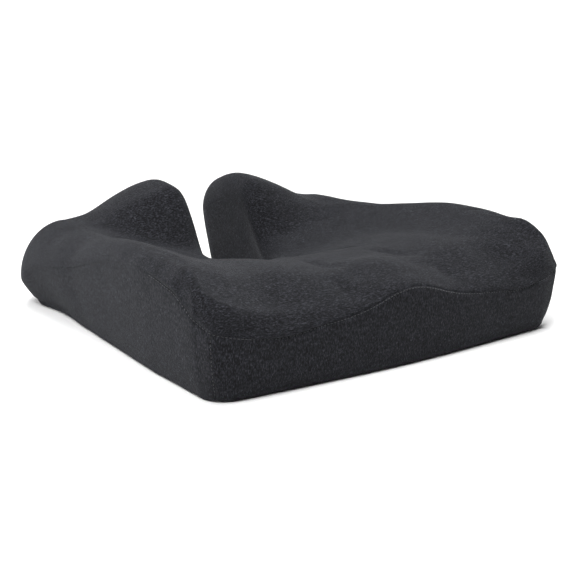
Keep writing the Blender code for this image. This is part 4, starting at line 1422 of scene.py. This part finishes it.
def block(low, high, bevel):
    """A box between two corners with rounded edges, as a bmesh."""
    bm = bmesh.new()
    bmesh.ops.create_cube(bm, size=1.0)
    low, high = placed(low), placed(high)
    for vertex in bm.verts:
        vertex.co = [(low[k] + high[k]) / 2.0 + vertex.co[k] * (high[k] - low[k]) for k in range(3)]
    bmesh.ops.bevel(bm, geom=bm.edges[:], offset=bevel * MM, segments=3, profile=0.5, affect="EDGES")
    return bm


def mirrored_edge(corners):
    """The same (x, y, radius) corners on the other side of the zip's line, in the order back."""
    return [(x, -y, radius) for x, y, radius in corners[::-1]]


def zip_loop(corners):
    """Closed outline through corners given from the pull's hinge."""
    return rounded_loop([(PIVOT[0] / MM + x, ZIP_Y + y, radius) for x, y, radius in corners])


def build_slider(mats):
    """Slider body: two shaped plates on a post, side flanges and the arched bridge."""
    x0 = PIVOT[0] / MM
    half, width = SLIDER_LENGTH / 2.0, SLIDER_WIDTH / 2.0
    tail = width - 1.1
    edge = [
        (half - 1.6, 0.0, 1.2),
        (half, width - 0.4, 2.6),
        (2.2, width, 3.0),
        (-1.0, tail, 3.0),
        (-half, tail, 1.2),
    ]
    loop = zip_loop(edge + mirrored_edge(edge[1:]))
    parts = [
        flat_shape("slider_low", [loop], SLIDER_LOW_Z, SLIDER_PLATE, 0.25),
        flat_shape("slider_high", [loop], SLIDER_HIGH_Z, SLIDER_PLATE, 0.25),
    ]
    post_low = (x0 + half - 4.4, ZIP_Y - 0.4, SLIDER_LOW_Z + 0.2)
    post_high = (x0 + half - 1.9, ZIP_Y + 0.4, SLIDER_HIGH_Z + 0.5)
    parts.append(block(post_low, post_high, 0.15))
    for side in (-1.0, 1.0):
        inner, outer = sorted((ZIP_Y + side * (tail - 0.55), ZIP_Y + side * (tail - 0.02)))
        rail_low = (x0 - half + 0.6, inner, SLIDER_LOW_Z + 0.3)
        rail_high = (x0 + half - 3.0, outer, SLIDER_RAIL_TOP)
        parts.append(block(rail_low, rail_high, 0.2))
    arch = []
    for angle in np.linspace(0.0, math.pi, BRIDGE_STEPS + 1):
        reach = math.copysign(abs(math.cos(angle)) ** 0.55, math.cos(angle))
        rise = max(math.sin(angle), 0.0) ** 0.6
        arch.append((x0 + BRIDGE_REACH * reach, SLIDER_LOW_Z + 0.35 - BRIDGE_RISE * rise))
    parts.append(strap(arch, ZIP_Y, 2.0, 0.62))
    slider = joined("zip_slider_body", parts)
    finish_piece(slider, mats["metal"], "zip_metal", "zip_slider", "zip_slider")


def strap(path, y, width, thick):
    """A flat bar of the width along a path of (x, z) points, as a bmesh."""
    path = np.array(path)
    ahead = unit(np.gradient(path, axis=0))
    aside = np.column_stack([-ahead[:, 1], ahead[:, 0]])
    bm = bmesh.new()
    rows = []
    half, edge = width / 2.0, thick / 2.0
    section = [(-half, -edge * 0.5), (-half + 0.2, -edge), (half - 0.2, -edge), (half, -edge * 0.5)]
    section += [(half, edge * 0.5), (half - 0.2, edge), (-half + 0.2, edge), (-half, edge * 0.5)]
    for (x, z), (nx, nz) in zip(path, aside):
        rows.append([bm.verts.new(placed((x + nx * b, y + a, z + nz * b))) for a, b in section])
    count = len(section)
    for a, b in zip(rows[:-1], rows[1:]):
        for k in range(count):
            bm.faces.new([a[k], a[(k + 1) % count], b[(k + 1) % count], b[k]])
    bm.faces.new(rows[0])
    bm.faces.new(rows[-1][::-1])
    return bm


def build_pull(mats):
    """The pull tab: a plate with a window round the bridge, a narrower grip and a slot."""
    half = PULL_WIDTH / 2.0
    # One edge of each loop; the other edge mirrors it.
    plate = [
        (0.45, half, 0.8),
        (-7.6, half, 2.0),
        (-9.6, 2.1, 2.0),
        (-16.0, 2.5, 8.0),
        (-PULL_LENGTH, 2.5, 2.2),
    ]
    window = [(-0.5, 1.7, 0.5), (-6.4, 1.7, 1.2)]
    slot = [(-17.5, 1.0, 0.95), (-24.0, 1.0, 0.95)]
    loops = [zip_loop(edge + mirrored_edge(edge)) for edge in (plate, window, slot)]
    body = flat_shape("pull_plate", loops, PULL_Z - 0.5, 1.0, 0.22)
    pull = joined("zip_pull_tab", [body])
    finish_piece(pull, mats["metal"], "zip_metal", "zip_pull", "zip_pull")


def build_zip(mats):
    """The coils, slider and pull in detail, and better materials for the small pieces."""
    plain_nodes = {
        "zip_tape_front": "tape",
        "zip_tape_rear": "tape",
        "zip_end_tab_left": "tape",
        "zip_end_tab_right": "tape",
        "zip_top_stop_front": "metal",
        "zip_top_stop_rear": "metal",
        "zip_bottom_stop": "metal",
        "care_label": "label",
        "liner_base": "jersey",
    }
    for node, mat in plain_nodes.items():
        give(frame["nodes"][node], mats[mat])
    for name, toward in (("front", -1.0), ("rear", 1.0)):
        finish_piece(coil("zip_spiral_" + name, toward), mats["coil"], "coil", "cushion", "zip_coil_" + name)
    build_slider(mats)
    build_pull(mats)


def refined_puffs(coarse):
    """The swelling of both halves on the fine grids."""
    puffs = puffed(coarse)
    refined = {}
    for name, (rim, crown) in puffs.items():
        rim_rows = [0, coarse["seam"], len(rim) - 1]
        crown_parts = [0, crown.shape[0] - 1], [0, crown.shape[1] - 1]
        refined[name] = (refine(rim, rim_rows, coarse["spans"], FINE), refine(crown, *crown_parts, FINE))
    return refined


def main():
    """Builds everything."""
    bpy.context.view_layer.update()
    build_stage()
    mats = build_materials()
    puffs = refined_puffs(skin(1))
    surface = skin(FINE)
    halves = build_cover(surface, puffs, mats)
    seam_stitches(halves, surface, mats)
    build_inside(halves, surface, mats)
    build_base(surface, mats)
    build_zip(mats)


main()
